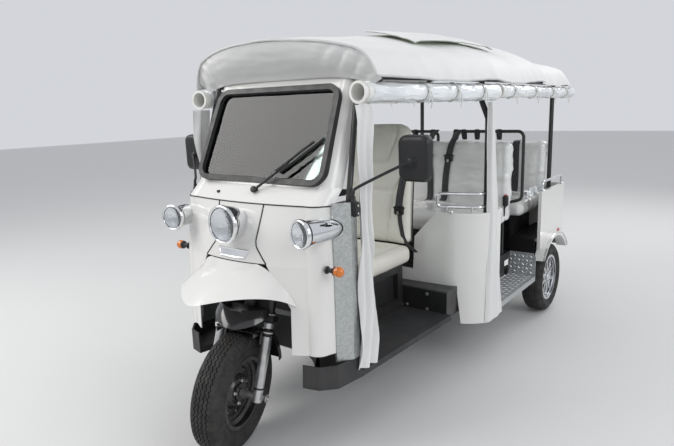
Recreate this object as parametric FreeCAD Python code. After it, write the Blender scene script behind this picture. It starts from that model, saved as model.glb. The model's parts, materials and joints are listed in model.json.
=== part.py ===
import FreeCAD, Part
import math
import os

V = FreeCAD.Vector

# Auto rickshaw with a single steered front wheel, a driver's seat and two forward benches.
# Millimetres. +Z is up, the nose points to -Y, +X is the vehicle's own left.
# Stations along Y are measured in a nose datum; the last step moves the origin to the
# middle of the footprint on the ground.

# Driving widths of the body and tyres
BODY_HALF = 655.0
CAB_HALF = 500.0
DECK_HALF = 462.0
WING_HALF = DECK_HALF + 38.0
CHECKER_X = BODY_HALF - 7.0
TRACK = 2 * (BODY_HALF - 55.0)
FRONT_TYRE_R = 280.0
FRONT_TYRE_W = 140.0
REAR_TYRE_R = 257.0
REAR_TYRE_W = 150.0

# Stations from the nose to the tail, each worked out from the one before it
FRONT_AXLE_Y = 20.0
BULKHEAD_Y = 1335.0
BOX_FRONT_Y = BULKHEAD_Y - 113.0
POST_B_Y = BULKHEAD_Y + 165.0
STEP_FRONT_Y = POST_B_Y + 140.0
BENCH_ONE_Y = POST_B_Y + 90.0
BENCH_ONE_DEPTH = 472.0
BENCH_TWO_DEPTH = 440.0
BACK_T = 108.0
KNEE_ROOM = 180.0
HOOP_Y = BENCH_ONE_Y + BENCH_ONE_DEPTH + BACK_T + 54.0
BOX_REAR_Y = HOOP_Y + 1.0
BENCH_TWO_Y = BENCH_ONE_Y + BENCH_ONE_DEPTH + BACK_T + KNEE_ROOM
STEP_REAR_Y = BENCH_TWO_Y - 12.0
REAR_AXLE_Y = STEP_REAR_Y + REAR_TYRE_R + 35.0
REAR_PANEL_Y0 = REAR_AXLE_Y - 235.0
TAIL_Y = REAR_AXLE_Y + 305.0
POST_R_Y = TAIL_Y - 47.0
ROOF_REAR_Y = TAIL_Y + 155.0

# Wheels
RIM_SEAT_R = 156.0
RIM_WALL = 4.0
BEAD_IN = 22.0
LIP_OUT = 8.0
RIM_FLANGE_R = 168.0
TYRE_CROWN_DROP = 7.0
TYRE_SHOULDER_R = 22.0
HUB_R = 40.0
AXLE_R = 12.0
BOLT_CIRCLE_R = 50.0
WHEEL_BOLT_R = 8.0
SPOKES = 10
SPOKE_W = 26.0
FIT = 0.3

# Steering
RAKE = 18.0
STEER = 16.0
STEER_LOCK = 35.0
AXIS_OFFSET = 30.0
LEG_X = 122.0
LEG_R = 23.0
TUBE_R = 17.0
LEG_BELOW = 25.0
LEG_TOP = 265.0
YOKE_LOW = 335.0
YOKE_T = 26.0
YOKE_HIGH = 580.0
HEAD_R = 33.0
HEAD_WALL = 6.0
STEM_R = 16.0
STEM_TOP = 862.0
BAR_HALF = 270.0
BAR_R = 11.0
BAR_PULL = 110.0
GRIP_R = 17.0
GRIP_L = 120.0
GUARD_GAP = 22.0
GUARD_T = 5.0
GUARD_W = 190.0
SCOOP_DROP = 0.35
SCOOP_LIP_Z = 600.0
RIB_HALF = 30.0
GUARD_FRONT = 0.0
GUARD_REAR = 80.0
WELL_R = 345.0
WELL_T = 6.0
WELL_TOP = 330.0
SPLASH_Y = 446.0
SPLASH_TOP_Z = 930.0
# Plan of the mudguard's scoop at each height, from the table's columns: height, half-width,
# y of the corners, y of the nose
SCOOP = [(575, 153, 62, -40), (630, 138, 80, -8), (676, 120, 94, 34)]

# Heights of the body
FLOOR_Z = 370.0
FLOOR_T = 30.0
TRAY_Z = 448.0
DECK_Z = 500.0
STEP_Z = 335.0
STEP_T = 6.0
PANEL_LOW_Z = 490.0
NOSE_TOP_Z = 885.0
SEAM_Z = 1145.0
SURROUND_TOP_Z = 1700.0
SIDE_TOP_Z = 935.0
ROOF_EDGE_Z = 1692.0
SEAM_GAP = 0.4
SKIN = 6.0
WALL = 22.0

# Plan of the posts and of the doorway's rear edge
DOOR_REAR_HALF = CAB_HALF + 30.0
POST_B_X = BODY_HALF - 43.0
POST_B_TOP_X = BODY_HALF - 84.0
POST_R_X = BODY_HALF - 103.0
POST_A_X = CAB_HALF - 55.0
POST_A_FOOT_X = CAB_HALF - 25.0

# Windscreen
GLASS_Y = 250.0
GLASS_Z = 1218.0
GLASS_RISE = 470.0
GLASS_TILT = 23.6
GLASS_HALF_LOW = 402.0
GLASS_HALF_HIGH = 384.0
GLASS_CORNER_R = 72.0
SEAL_W = 26.0
GLASS_T = 5.0


# Shared shape helpers
def box(x0, x1, y0, y1, z0, z1):
    """Box between two corners."""
    return Part.makeBox(x1 - x0, y1 - y0, z1 - z0, V(x0, y0, z0))


def rod(start, end, radius):
    """Round bar between two points."""
    run = end - start
    return Part.makeCylinder(radius, run.Length, start, run)


def rounded_path(points, bend):
    """Wire of straight runs through the points, with arcs of one bend radius between them."""
    edges = []
    last = points[0]
    for before, corner, after in zip(points, points[1:], points[2:]):
        into = (corner - before).normalize()
        out = (after - corner).normalize()
        turn = into.getAngle(out)
        reach = bend * math.tan(turn / 2)
        enter = corner - into * reach
        leave = corner + out * reach
        inward = (out - into).normalize()
        middle = corner + inward * (bend / math.cos(turn / 2) - bend)
        edges.append(Part.LineSegment(last, enter).toShape())
        edges.append(Part.Arc(enter, middle, leave).toShape())
        last = leave
    edges.append(Part.LineSegment(last, points[-1]).toShape())
    return Part.Wire(edges)


def tube(points, radius, bend):
    """Bent bar that follows rounded straight runs."""
    path = rounded_path(points, bend)
    first = points[1] - points[0]
    ring = Part.Wire(Part.makeCircle(radius, points[0], first))
    return path.makePipeShell([ring], True, False)


def outline(points):
    """Closed wire of straight lines."""
    return Part.makePolygon(points + [points[0]])


def plate(points, run):
    """Prism of a closed outline."""
    return Part.Face(outline(points)).extrude(run)


def plan_prism(points, z0, z1):
    """Upright prism of an outline given in plan."""
    return plate([V(x, y, z0) for x, y in points], V(0, 0, z1 - z0))


def front_prism(points, y0, y1):
    """Prism along Y of an outline given in front view."""
    return plate([V(x, y0, z) for x, z in points], V(0, y1 - y0, 0))


def side_prism(points, x0, x1):
    """Prism along X of an outline given in side view."""
    return plate([V(x0, y, z) for y, z in points], V(x1 - x0, 0, 0))


def fuse(shapes):
    """One solid of touching shapes, with its seams removed."""
    whole = shapes[0]
    if len(shapes) > 1:
        whole = whole.multiFuse(shapes[1:])
    return whole.removeSplitter()


def mirror(shape):
    """The same piece on the other side of the vehicle."""
    return shape.mirror(V(0, 0, 0), V(1, 0, 0))


def pair(shape):
    """A left piece and its mirror image, apart from each other."""
    return Part.makeCompound([shape, mirror(shape)])


def softened(shape, radius):
    """Box-like solid with every edge rounded."""
    return shape.makeFillet(radius, shape.Edges)


# Steering frame: the fork is drawn about an upright axis through the wheel centre,
# then leaned back by the rake and turned by the parked steering angle.
LEAN = math.radians(RAKE)
STEER_DIR = V(0, math.sin(LEAN), math.cos(LEAN))


def front_axle_height():
    """Height of the front wheel's centre at which the turned, leaning tyre touches the ground."""
    camber = math.asin(math.sin(math.radians(STEER)) * math.sin(LEAN))
    return FRONT_TYRE_R * math.cos(camber)


AXLE_START = V(0, FRONT_AXLE_Y, front_axle_height())
STEER_POINT = V(0, FRONT_AXLE_Y + AXIS_OFFSET, AXLE_START.z)
STEER_TURN = FreeCAD.Placement(V(0, 0, 0), FreeCAD.Rotation(STEER_DIR, STEER), STEER_POINT)


def along(t, x=0.0, ahead=0.0):
    """Point beside the straight-ahead steering axis: t up the axis, x left, ahead square to both."""
    forward = V(0, -math.cos(LEAN), math.sin(LEAN))
    return STEER_POINT + STEER_DIR * t + V(x, 0, 0) + forward * ahead


AHEAD = AXIS_OFFSET * math.cos(LEAN)
AXLE_T = -AXIS_OFFSET * math.sin(LEAN)


def steered(shape):
    """Turns a straight-ahead piece of the fork or wheel to the parked steering angle."""
    turned = shape.copy()
    turned.Placement = STEER_TURN.multiply(turned.Placement)
    return turned


# Wheels
def ring_of(section, centre):
    """Revolves a lateral section about the wheel's axle."""
    face = Part.Face(section)
    face.translate(centre)
    return face.revolve(centre, V(1, 0, 0), 360)


def bulge_height(radius):
    """Radius at which a tyre's wall stands out most."""
    return (RIM_FLANGE_R + radius) / 2


def tyre(radius, width):
    """Tyre with a crowned tread, cut shoulders and bulged walls, seated on the rim's bead seats."""
    half = width / 2
    flank = [V(half - BEAD_IN, 0, RIM_SEAT_R), V(half, 0, bulge_height(radius)),
             V(half - TYRE_SHOULDER_R, 0, radius - TYRE_CROWN_DROP)]
    other = [V(-point.x, 0, point.z) for point in reversed(flank)]
    return ring_of(outline(flank + [V(0, 0, radius)] + other), V(0, 0, 0))


def rim_barrel(radius, width, wall):
    """Rim barrel for a tyre's size, with two flanges that lean out along the tyre's walls."""
    bead = width / 2 - BEAD_IN
    lip = bead + LIP_OUT
    half_well = bead * 0.45
    well_r = RIM_SEAT_R - 16
    flare = bead + BEAD_IN * (RIM_FLANGE_R - RIM_SEAT_R) / (bulge_height(radius) - RIM_SEAT_R)
    section = outline([
        V(-lip, 0, RIM_FLANGE_R), V(-flare, 0, RIM_FLANGE_R), V(-bead, 0, RIM_SEAT_R),
        V(-half_well - 10, 0, RIM_SEAT_R), V(-half_well, 0, well_r), V(half_well, 0, well_r),
        V(half_well + 10, 0, RIM_SEAT_R), V(bead, 0, RIM_SEAT_R), V(flare, 0, RIM_FLANGE_R),
        V(lip, 0, RIM_FLANGE_R), V(lip, 0, RIM_SEAT_R - wall),
        V(half_well + 6, 0, RIM_SEAT_R - wall), V(half_well - 2, 0, well_r - wall),
        V(-half_well + 2, 0, well_r - wall), V(-half_well - 6, 0, RIM_SEAT_R - wall),
        V(-lip, 0, RIM_SEAT_R - wall)])
    return ring_of(section, V(0, 0, 0))


def steel_disc(bore):
    """Dished steel wheel disc with a hub, a ring of windows and wheel bolts on its left face."""
    barrel_r = RIM_SEAT_R - 17
    section = outline([
        V(-6, 0, bore), V(34, 0, bore), V(34, 0, HUB_R), V(26, 0, HUB_R), V(26, 0, 66),
        V(8, 0, 84), V(8, 0, 118), V(14, 0, barrel_r), V(6, 0, barrel_r), V(0, 0, 118),
        V(0, 0, 80), V(18, 0, 62), V(18, 0, HUB_R + 6), V(-6, 0, HUB_R + 6)])
    disc = ring_of(section, V(0, 0, 0))
    cuts = []
    bolts = []
    for number in range(8):
        turn = math.radians(number * 45)
        cuts.append(Part.makeCylinder(11, 30, V(-8, 101 * math.cos(turn), 101 * math.sin(turn)),
                                      V(1, 0, 0)))
    for number in range(4):
        turn = math.radians(number * 90 + 45)
        bolts.append(Part.makeCylinder(WHEEL_BOLT_R, 16,
                                       V(22, BOLT_CIRCLE_R * math.cos(turn),
                                         BOLT_CIRCLE_R * math.sin(turn)), V(1, 0, 0)))
    return disc.cut(Part.makeCompound(cuts)).multiFuse(bolts)


def alloy_spokes(bore):
    """Hub with ten tapered spokes out to the barrel, on the left side of the wheel."""
    barrel_r = RIM_SEAT_R - 2
    hub = ring_of(outline([V(10, 0, bore), V(44, 0, bore), V(44, 0, 30), V(38, 0, HUB_R + 18),
                           V(10, 0, HUB_R + 22)]), V(0, 0, 0))
    spoke = side_prism([(-SPOKE_W / 2, HUB_R + 10), (SPOKE_W / 2, HUB_R + 10),
                        (SPOKE_W * 0.36, barrel_r), (-SPOKE_W * 0.36, barrel_r)], 26, 44)
    spokes = []
    for number in range(SPOKES):
        turned = spoke.copy()
        turned.rotate(V(0, 0, 0), V(1, 0, 0), number * 360 / SPOKES)
        spokes.append(turned)
    return hub.multiFuse(spokes)


def wheels():
    """Front wheel at its parked steering angle and the two rear wheels."""
    front_rim = fuse([rim_barrel(FRONT_TYRE_R, FRONT_TYRE_W, RIM_WALL), steel_disc(AXLE_R + FIT)])
    front_tyre = tyre(FRONT_TYRE_R, FRONT_TYRE_W)
    spokes = alloy_spokes(STUB_R + FIT)
    rear_rim = fuse([rim_barrel(REAR_TYRE_R, REAR_TYRE_W, RIM_WALL), spokes])
    rear_tyre = tyre(REAR_TYRE_R, REAR_TYRE_W)
    made = {}
    for name, shape in (("front_rim", front_rim), ("front_tyre", front_tyre)):
        shape.translate(AXLE_START)
        made[name] = steered(shape)
    for name, shape in (("rear_rim", rear_rim), ("rear_tyre", rear_tyre)):
        shape.translate(V(TRACK / 2, REAR_AXLE_Y, REAR_TYRE_R))
        made[name + "_left"] = shape
        made[name + "_right"] = mirror(shape)
    return made


def bowed_wire(row, inset, rear):
    """Plan outline at one height: a bowed front between two corners, closed behind them."""
    z, half, back_y, front_y = row
    tip = V(half - inset, back_y, z)
    other = V(-half + inset, back_y, z)
    nose_point = V(0, front_y + inset, z)
    return Part.Wire([Part.Arc(other, nose_point, tip).toShape(),
                      Part.makeLine(tip, V(tip.x, back_y + rear, z)),
                      Part.makeLine(V(tip.x, back_y + rear, z), V(other.x, back_y + rear, z)),
                      Part.makeLine(V(other.x, back_y + rear, z), other)])


def scoop_solid(inset, rear):
    """Solid inside the mudguard's scoop, set in by its wall."""
    return Part.makeLoft([bowed_wire(row, inset, rear) for row in SCOOP], True, False)


# Fork, handlebar and front mudguard
def fork():
    """Telescopic fork in its two yokes, with the handlebar on the stem and the mudguard."""
    tubes = [rod(along(LEG_TOP - 70, side * LEG_X, AHEAD),
                 along(YOKE_HIGH + YOKE_T, side * LEG_X, AHEAD), TUBE_R) for side in (-1, 1)]
    yokes = []
    for t in (YOKE_LOW, YOKE_HIGH):
        half = LEG_X + LEG_R + 4
        corners = [along(t, -half, AHEAD + 26), along(t, half, AHEAD + 26),
                   along(t, half, AHEAD - 24), along(t, 45, -34),
                   along(t, -45, -34), along(t, -half, AHEAD - 24)]
        yokes.append(plate(corners, STEER_DIR * YOKE_T))
    stem = rod(along(YOKE_LOW), along(STEM_TOP), STEM_R)
    grip_end = along(STEM_TOP + 24, BAR_HALF, -BAR_PULL)
    mid_bar = [along(STEM_TOP - 14, -BAR_HALF * 0.45), along(STEM_TOP - 14, BAR_HALF * 0.45)]
    bar = tube([along(STEM_TOP + 24, -BAR_HALF, -BAR_PULL), mid_bar[0], mid_bar[1], grip_end],
               BAR_R, 40)
    grips = []
    for side in (-1, 1):
        end = along(STEM_TOP + 24, side * BAR_HALF, -BAR_PULL)
        inner = along(STEM_TOP - 14, side * BAR_HALF * 0.45)
        grips.append(rod(end, end + (inner - end).normalize() * GRIP_L, GRIP_R))
    frame = fuse(tubes + yokes + [stem, bar] + grips)

    sliders = []
    for side in (-1, 1):
        leg = rod(along(AXLE_T - LEG_BELOW, side * LEG_X, AHEAD),
                  along(LEG_TOP, side * LEG_X, AHEAD), LEG_R)
        bore = rod(along(LEG_TOP - 70, side * LEG_X, AHEAD),
                   along(LEG_TOP + 5, side * LEG_X, AHEAD), TUBE_R)
        sliders.append(leg.cut(bore))
    axle_half = LEG_X + LEG_R + 14
    axle = rod(AXLE_START - V(axle_half, 0, 0), AXLE_START + V(axle_half, 0, 0), AXLE_R)
    collars = []
    for side in (-1, 1):
        inner = AXLE_START + V(side * 38, 0, 0)
        outer = AXLE_START + V(side * (LEG_X - LEG_R + 6), 0, 0)
        collars.append(rod(inner, outer, AXLE_R + 6))
    legs = fuse(sliders + [axle] + collars)

    guard_r = FRONT_TYRE_R + GUARD_GAP
    half = GUARD_W / 2
    lip = 24
    section = outline([
        V(-half, 0, guard_r - lip), V(-half, 0, guard_r), V(-half + 18, 0, guard_r + GUARD_T),
        V(half - 18, 0, guard_r + GUARD_T), V(half, 0, guard_r), V(half, 0, guard_r - lip),
        V(half - GUARD_T, 0, guard_r - lip), V(half - GUARD_T, 0, guard_r - 3),
        V(half - 20, 0, guard_r), V(-half + 20, 0, guard_r), V(-half + GUARD_T, 0, guard_r - 3),
        V(-half + GUARD_T, 0, guard_r - lip)])
    face = Part.Face(section)
    face.rotate(V(0, 0, 0), V(1, 0, 0), GUARD_FRONT)
    face.translate(AXLE_START)
    guard = face.revolve(AXLE_START, V(1, 0, 0), -(GUARD_FRONT + GUARD_REAR))
    stays = []
    for side in (-1, 1):
        low = along(LEG_TOP - 40, side * (half - GUARD_T / 2), AHEAD)
        high = along(LEG_TOP + 18, side * (half - GUARD_T / 2), AHEAD)
        stay = rod(low, high, 12)
        knob = rod(low + V(-side * 1, 0, 0), low + V(side * 12, 0, 0), 9)
        stays.append(stay.fuse(knob).common(box(-half - 8, half + 8, -400, 600, 0, 900)))
    nose_y = SCOOP[0][3]
    scoop = scoop_solid(0, 12).cut(scoop_solid(GUARD_T, 60).translated(V(0, 0, -GUARD_T)))
    side_z = SCOOP_LIP_Z + SCOOP_DROP * 300
    scoop = scoop.common(side_prism([(nose_y, SCOOP_LIP_Z), (nose_y + 300, side_z),
                                     (nose_y + 300, 900), (nose_y, 900)], -300, 300))
    crown = AXLE_START.z + guard_r
    rib = box(-RIB_HALF, RIB_HALF, AXLE_START.y + 8, AXLE_START.y + 50, crown - 1,
              SCOOP[-1][0] - 1)
    guard = fuse([guard, rib, scoop] + stays).cut(legs)
    return {"fork_frame": steered(frame), "fork_sliders": steered(legs),
            "front_mudguard": steered(guard)}


# Chassis, axle and floor
STUB_R = 18.0
RAIL_X = DECK_HALF - 87.0
RAIL_W = 50.0
RAIL_Z = 280.0
RAIL_H = 60.0
RAIL_REAR_Z = 400.0
RAIL_REAR_H = 50.0
RAIL_FRONT_Y = 480.0
RAIL_REAR_Y = TAIL_Y + 50.0
END_BAR_Y = TAIL_Y + 25.0
BUMPER_Y = TAIL_Y + 95.0
BUMPER_Z = RAIL_REAR_Z + RAIL_REAR_H / 2
BUMPER_HALF = 500.0
BUMPER_R = 22.0
KICK_Y = REAR_AXLE_Y - 500.0
KICK_RUN = 110.0
OUTRIGGER_Z = 310.0
MEMBER_R = 20.0
DECK_SLAB_T = 30.0
AXLE_TUBE_R = 35.0
DRUM_R = 105.0
DRUM_L = 85.0
DRUM_FACE = TRACK / 2 - 13.0
DRUM_SLOPE = 12.0
STUB_OUT = 36.0
CASE_R = 92.0
CASE_HALF = 55.0
CASE_NECK = 110.0
MOTOR_R = 78.0
MOTOR_L = 330.0
LEAF_W = 50.0
LEAF_T = 8.0
SPRING_LEAVES = 3
SPRING_Z = REAR_TYRE_R + AXLE_TUBE_R + LEAF_T * SPRING_LEAVES
SPRING_REACH = 350.0
SPRING_BOW_R = 1000.0


def rear_axle():
    """Live axle turned about its own line, with its drums and differential, and the motor."""
    drum_in = DRUM_FACE - DRUM_L
    stub_end = TRACK / 2 + STUB_OUT
    half = [(CASE_HALF, CASE_R), (CASE_NECK, AXLE_TUBE_R), (drum_in - DRUM_SLOPE, AXLE_TUBE_R),
            (drum_in, DRUM_R), (DRUM_FACE, DRUM_R), (DRUM_FACE, STUB_R), (stub_end, STUB_R),
            (stub_end, 0)]
    profile = [V(x, 0, r) for x, r in half] + [V(-x, 0, r) for x, r in reversed(half)]
    centre = V(0, REAR_AXLE_Y, REAR_TYRE_R)
    axle = ring_of(outline(profile), centre)
    motor = rod(centre - V(0, MOTOR_L, 0), centre - V(0, CASE_HALF, 0), MOTOR_R)
    return axle.fuse(motor)


def chassis():
    """Ladder frame with the headstock, the floor, the battery box and the live rear axle."""
    wide = RAIL_X + RAIL_W / 2
    low = RAIL_Z
    rail = side_prism([(RAIL_FRONT_Y, low), (KICK_Y, low), (KICK_Y + KICK_RUN, RAIL_REAR_Z),
                       (RAIL_REAR_Y, RAIL_REAR_Z), (RAIL_REAR_Y, RAIL_REAR_Z + RAIL_REAR_H),
                       (KICK_Y + KICK_RUN - 25, RAIL_REAR_Z + RAIL_REAR_H),
                       (KICK_Y - 30, low + RAIL_H),
                       (RAIL_FRONT_Y, low + RAIL_H)], RAIL_X - RAIL_W / 2, wide)
    members = [rail, mirror(rail)]
    for y, z in ((RAIL_FRONT_Y + 30, OUTRIGGER_Z), (BOX_FRONT_Y + 38, OUTRIGGER_Z),
                 (KICK_Y - 50, OUTRIGGER_Z), (STEP_REAR_Y - 8, BUMPER_Z), (END_BAR_Y, BUMPER_Z)):
        members.append(rod(V(-wide, y, z), V(wide, y, z), MEMBER_R))
    post_foot = rod(V(RAIL_X, POST_B_Y, OUTRIGGER_Z), V(POST_B_X + POST_R, POST_B_Y, OUTRIGGER_Z),
                    MEMBER_R)
    members += [post_foot, mirror(post_foot)]
    head_low = YOKE_LOW + YOKE_T + 3
    head_high = YOKE_HIGH - 3
    members.append(rod(along(head_low), along(head_high), HEAD_R))
    neck = along((head_low + head_high) / 2)
    spine = tube([neck, V(0, 640, neck.z - 30), V(0, 560, FLOOR_Z - 30), V(0, 520, 300)], 30, 60)
    members.append(spine)
    bumper = tube([V(-BUMPER_HALF, END_BAR_Y, BUMPER_Z), V(-BUMPER_HALF, BUMPER_Y, BUMPER_Z),
                   V(BUMPER_HALF, BUMPER_Y, BUMPER_Z), V(BUMPER_HALF, END_BAR_Y, BUMPER_Z)],
                  BUMPER_R, 55)
    bumper_arms = [rod(V(side * RAIL_X, END_BAR_Y, BUMPER_Z), V(side * RAIL_X, BUMPER_Y, BUMPER_Z),
                       MEMBER_R) for side in (-1, 1)]
    end_bar = rod(V(-BUMPER_HALF - MEMBER_R, END_BAR_Y, BUMPER_Z),
                  V(BUMPER_HALF + MEMBER_R, END_BAR_Y, BUMPER_Z), MEMBER_R)
    members += [bumper, end_bar] + bumper_arms
    bore = rod(along(head_low - 10), along(head_high + 10), STEM_R + FIT)
    frame = fuse(members).cut(bore)

    live_axle = rear_axle()

    leaves = []
    bow_centre = V(RAIL_X - LEAF_W / 2, REAR_AXLE_Y, SPRING_Z + SPRING_BOW_R)
    for leaf in range(SPRING_LEAVES):
        reach = SPRING_REACH - leaf * 80
        outer = Part.makeCylinder(SPRING_BOW_R + LEAF_T * (leaf + 1), LEAF_W, bow_centre, V(1, 0, 0))
        core = Part.makeCylinder(SPRING_BOW_R + LEAF_T * leaf, LEAF_W, bow_centre, V(1, 0, 0))
        span = box(0, 600, REAR_AXLE_Y - reach, REAR_AXLE_Y + reach, 100, 500)
        leaves.append(outer.cut(core).common(span))
    eye_z = SPRING_Z + SPRING_BOW_R - math.sqrt(SPRING_BOW_R ** 2 - SPRING_REACH ** 2)
    hangers = []
    for side in (-1, 1):
        y = REAR_AXLE_Y + side * SPRING_REACH
        hangers.append(rod(V(RAIL_X - LEAF_W / 2, y, eye_z), V(RAIL_X + LEAF_W / 2, y, eye_z), 15))
        hangers.append(box(RAIL_X - LEAF_W / 2, RAIL_X + LEAF_W / 2, y - 13, y + 13, eye_z,
                           RAIL_REAR_Z))
    saddle = box(RAIL_X - 32, RAIL_X + 32, REAR_AXLE_Y - 45, REAR_AXLE_Y + 45, REAR_TYRE_R + 15,
                 SPRING_Z - LEAF_T * SPRING_LEAVES / 2)
    spring = fuse(leaves + hangers + [saddle]).cut(live_axle)

    well_axis_low = along(60)
    well_outer = rod(well_axis_low, along(WELL_TOP), WELL_R)
    tray = [(-300, 112), (-420, 142), (-480, 205), (-CAB_HALF, 362),
            (-DOOR_REAR_HALF, BOX_FRONT_Y - FIT), (DOOR_REAR_HALF, BOX_FRONT_Y - FIT),
            (CAB_HALF, 362), (480, 205), (420, 142), (300, 112)]
    floor = plan_prism(tray, FLOOR_Z - FLOOR_T, FLOOR_Z)
    rim_out = [(-300, 112), (-420, 142), (-480, 205), (-CAB_HALF, 362), (CAB_HALF, 362),
               (480, 205), (420, 142), (300, 112)]
    rim_in = [(-300, 118), (-417, 148), (-474, 208), (-CAB_HALF + 6, 372), (CAB_HALF - 6, 372),
              (474, 208), (417, 148), (300, 118)]
    lip = plan_prism(rim_out, FLOOR_Z - FLOOR_T, TRAY_Z).cut(plan_prism(rim_in, FLOOR_Z, TRAY_Z))
    well = rod(well_axis_low, along(WELL_TOP), WELL_R + WELL_T).cut(well_outer)
    keep = box(-300, 300, 150, 700, FLOOR_Z - FLOOR_T, along(WELL_TOP).z - 40)
    well = well.common(keep)
    sweep = rod(along(-80), along(WELL_TOP + 30), WELL_R)
    wall_half = CAB_HALF - 160
    splash = box(-wall_half, wall_half, SPLASH_Y, SPLASH_Y + WELL_T, FLOOR_Z - FLOOR_T, SPLASH_TOP_Z)
    cheeks = [box(x, x + WELL_T, SPLASH_Y - 190, SPLASH_Y + WELL_T, FLOOR_Z - FLOOR_T, SPLASH_TOP_Z)
              for x in (-wall_half, wall_half - WELL_T)]
    splash = fuse([splash] + cheeks).cut(well_outer)
    pan = fuse([floor, lip, well, splash]).cut(sweep)
    pan = pan.cut(frame)
    pan = max(pan.Solids, key=lambda solid: solid.Volume)

    battery = box(-DECK_HALF, DECK_HALF, BOX_FRONT_Y, BOX_REAR_Y, RAIL_Z + RAIL_H, DECK_Z)
    wing = box(-WING_HALF, WING_HALF, BOX_FRONT_Y, BULKHEAD_Y + 40, RAIL_Z + RAIL_H, DECK_Z)
    slab = box(-DECK_HALF, DECK_HALF, BOX_REAR_Y, STEP_REAR_Y, DECK_Z - DECK_SLAB_T, DECK_Z)
    battery = fuse([battery, wing, slab]).cut(frame)
    battery = battery.makeFillet(8, [edge for edge in battery.Edges
                                     if abs(edge.BoundBox.ZMax - edge.BoundBox.ZMin) < 1
                                     and abs(edge.BoundBox.ZMax - DECK_Z) < 1
                                     and abs(edge.BoundBox.YMax - BOX_FRONT_Y) < 1])
    return {"chassis_frame": frame, "rear_axle": live_axle, "rear_springs": pair(spring),
            "floor_pan": pan, "battery_box": battery}


# Nose panels
# Plan of the front skin at each height, from the table's columns:
# height, y at the middle, x and y where the corner starts, x and y where it ends, x and y of
# the rear edge.
LOWER_SKIN = [
    (PANEL_LOW_Z, 45, 370, 145, 435, 200, 452, 240),
    (NOSE_TOP_Z, 65, 370, 150, 437, 205, 452, 240),
    (SEAM_Z - SEAM_GAP, 140, 350, 176, 430, 225, 448, 248),
]
UPPER_SKIN = [
    (SEAM_Z, 140, 350, 176, 430, 225, 448, 248),
    (GLASS_Z - 4, 232, 360, 252, 425, 288, 440, 330),
    (SURROUND_TOP_Z - 12, 448, 360, 458, 415, 482, 428, 520),
]
# Half-width of the middle panel at each height, which is also where the side panels begin
MIDDLE_PANEL = [(PANEL_LOW_Z - 20, 300), (700, 300), (NOSE_TOP_Z + 8, 190), (975, 126),
                (SEAM_Z + 10, 142)]


# Nose fender in plan at each height, from the table's columns: height, half-width, y of the
# corners, y of the nose
FENDER = [(NOSE_TOP_Z + 4, 190, 92, 60), (820, 258, 118, -74), (700, 330, 128, -282)]
# Lower edge of the fender in side view: y and height in front, at the crown and behind
FENDER_ARCH = [(-217, 741), (-90, 779), (126, 708)]
FENDER_T = 5.0
FENDER_BACK = 160.0


def skin_wire(row, inset):
    """Plan outline of the front skin at one height, set in by the wall."""
    z, centre_y, face_x, face_y, side_x, side_y, rear_x, rear_y = row
    centre = V(0, centre_y + inset, z)
    face = V(face_x - inset * 0.4, face_y + inset, z)
    side = V(side_x - inset, side_y + inset * 0.4, z)
    rear = V(rear_x - inset, rear_y + (60 if inset else 0), z)
    corner = V(side.x, face.y, z)
    middle = (face + side) * 0.5
    bend = middle + (corner - middle) * 0.42
    other = [V(-p.x, p.y, p.z) for p in (face, side, rear, bend)]
    edges = [
        Part.makeLine(other[2], other[1]),
        Part.Arc(other[1], other[3], other[0]).toShape(),
        Part.Arc(other[0], centre, face).toShape(),
        Part.Arc(face, bend, side).toShape(),
        Part.makeLine(side, rear),
        Part.makeLine(rear, other[2]),
    ]
    return Part.Wire(edges)


def skin(rows, inset=0.0):
    """Solid inside the front skin over a range of heights."""
    return Part.makeLoft([skin_wire(row, inset) for row in rows], True, True)


def shell_of(rows):
    """Front skin as a wall, open at the rear, top and bottom."""
    first = (rows[0][0] - 40,) + rows[0][1:]
    last = (rows[-1][0] + 40,) + rows[-1][1:]
    hollow = Part.makeCompound([skin(rows, SKIN),
                                skin([first, rows[0]], SKIN), skin([rows[-1], last], SKIN)])
    return skin(rows).cut(hollow)


def nose():
    """Middle panel, side panels and the flared nose fender."""
    lower = shell_of(LOWER_SKIN)
    half = [(x, z) for z, x in MIDDLE_PANEL]
    middle_outline = [(x - SEAM_GAP, z) for x, z in half[2:]]
    middle_outline += [(-x, z) for x, z in reversed(middle_outline)]
    middle = lower.common(front_prism(middle_outline, -400, 600))
    left_outline = half + [(700, SEAM_Z + 10), (700, PANEL_LOW_Z - 20)]
    left = lower.common(front_prism(left_outline, -400, 600))
    lamp_cut = headlamp_bodies()
    middle = middle.cut(lamp_cut)
    left = left.cut(lamp_cut)

    outer = Part.makeLoft([bowed_wire(row, 0, FENDER_BACK) for row in FENDER], True, False)
    inner = Part.makeLoft([bowed_wire(row, FENDER_T, FENDER_BACK) for row in FENDER], True, False)
    fender = outer.cut(inner.translated(V(0, 0, -FENDER_T)))
    (y0, z0), (y1, z1), (y2, z2) = FENDER_ARCH
    end = (y2 + FENDER_BACK, z2)
    arch = Part.Arc(V(-CAB_HALF, y0, z0), V(-CAB_HALF, y1, z1), V(-CAB_HALF, y2, z2)).toShape()
    loop = [(y2, z2), end, (end[0], z2 - FENDER_BACK), (y0 - FENDER_BACK, z2 - FENDER_BACK),
            (y0 - FENDER_BACK, z0), (y0, z0)]
    under = [Part.makeLine(V(-CAB_HALF, y, z), V(-CAB_HALF, next_y, next_z))
             for (y, z), (next_y, next_z) in zip(loop, loop[1:])]
    cutter = Part.Face(Part.Wire([arch] + under)).extrude(V(2 * CAB_HALF, 0, 0))
    fender = fender.cut(cutter)
    body = skin([(500,) + LOWER_SKIN[0][1:]] + LOWER_SKIN[1:])
    fender = fender.cut(body).cut(middle)
    fender = max(fender.Solids, key=lambda solid: solid.Volume)
    return {"nose_fender": fender, "front_panel": middle, "front_side_panels": pair(left)}


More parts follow.
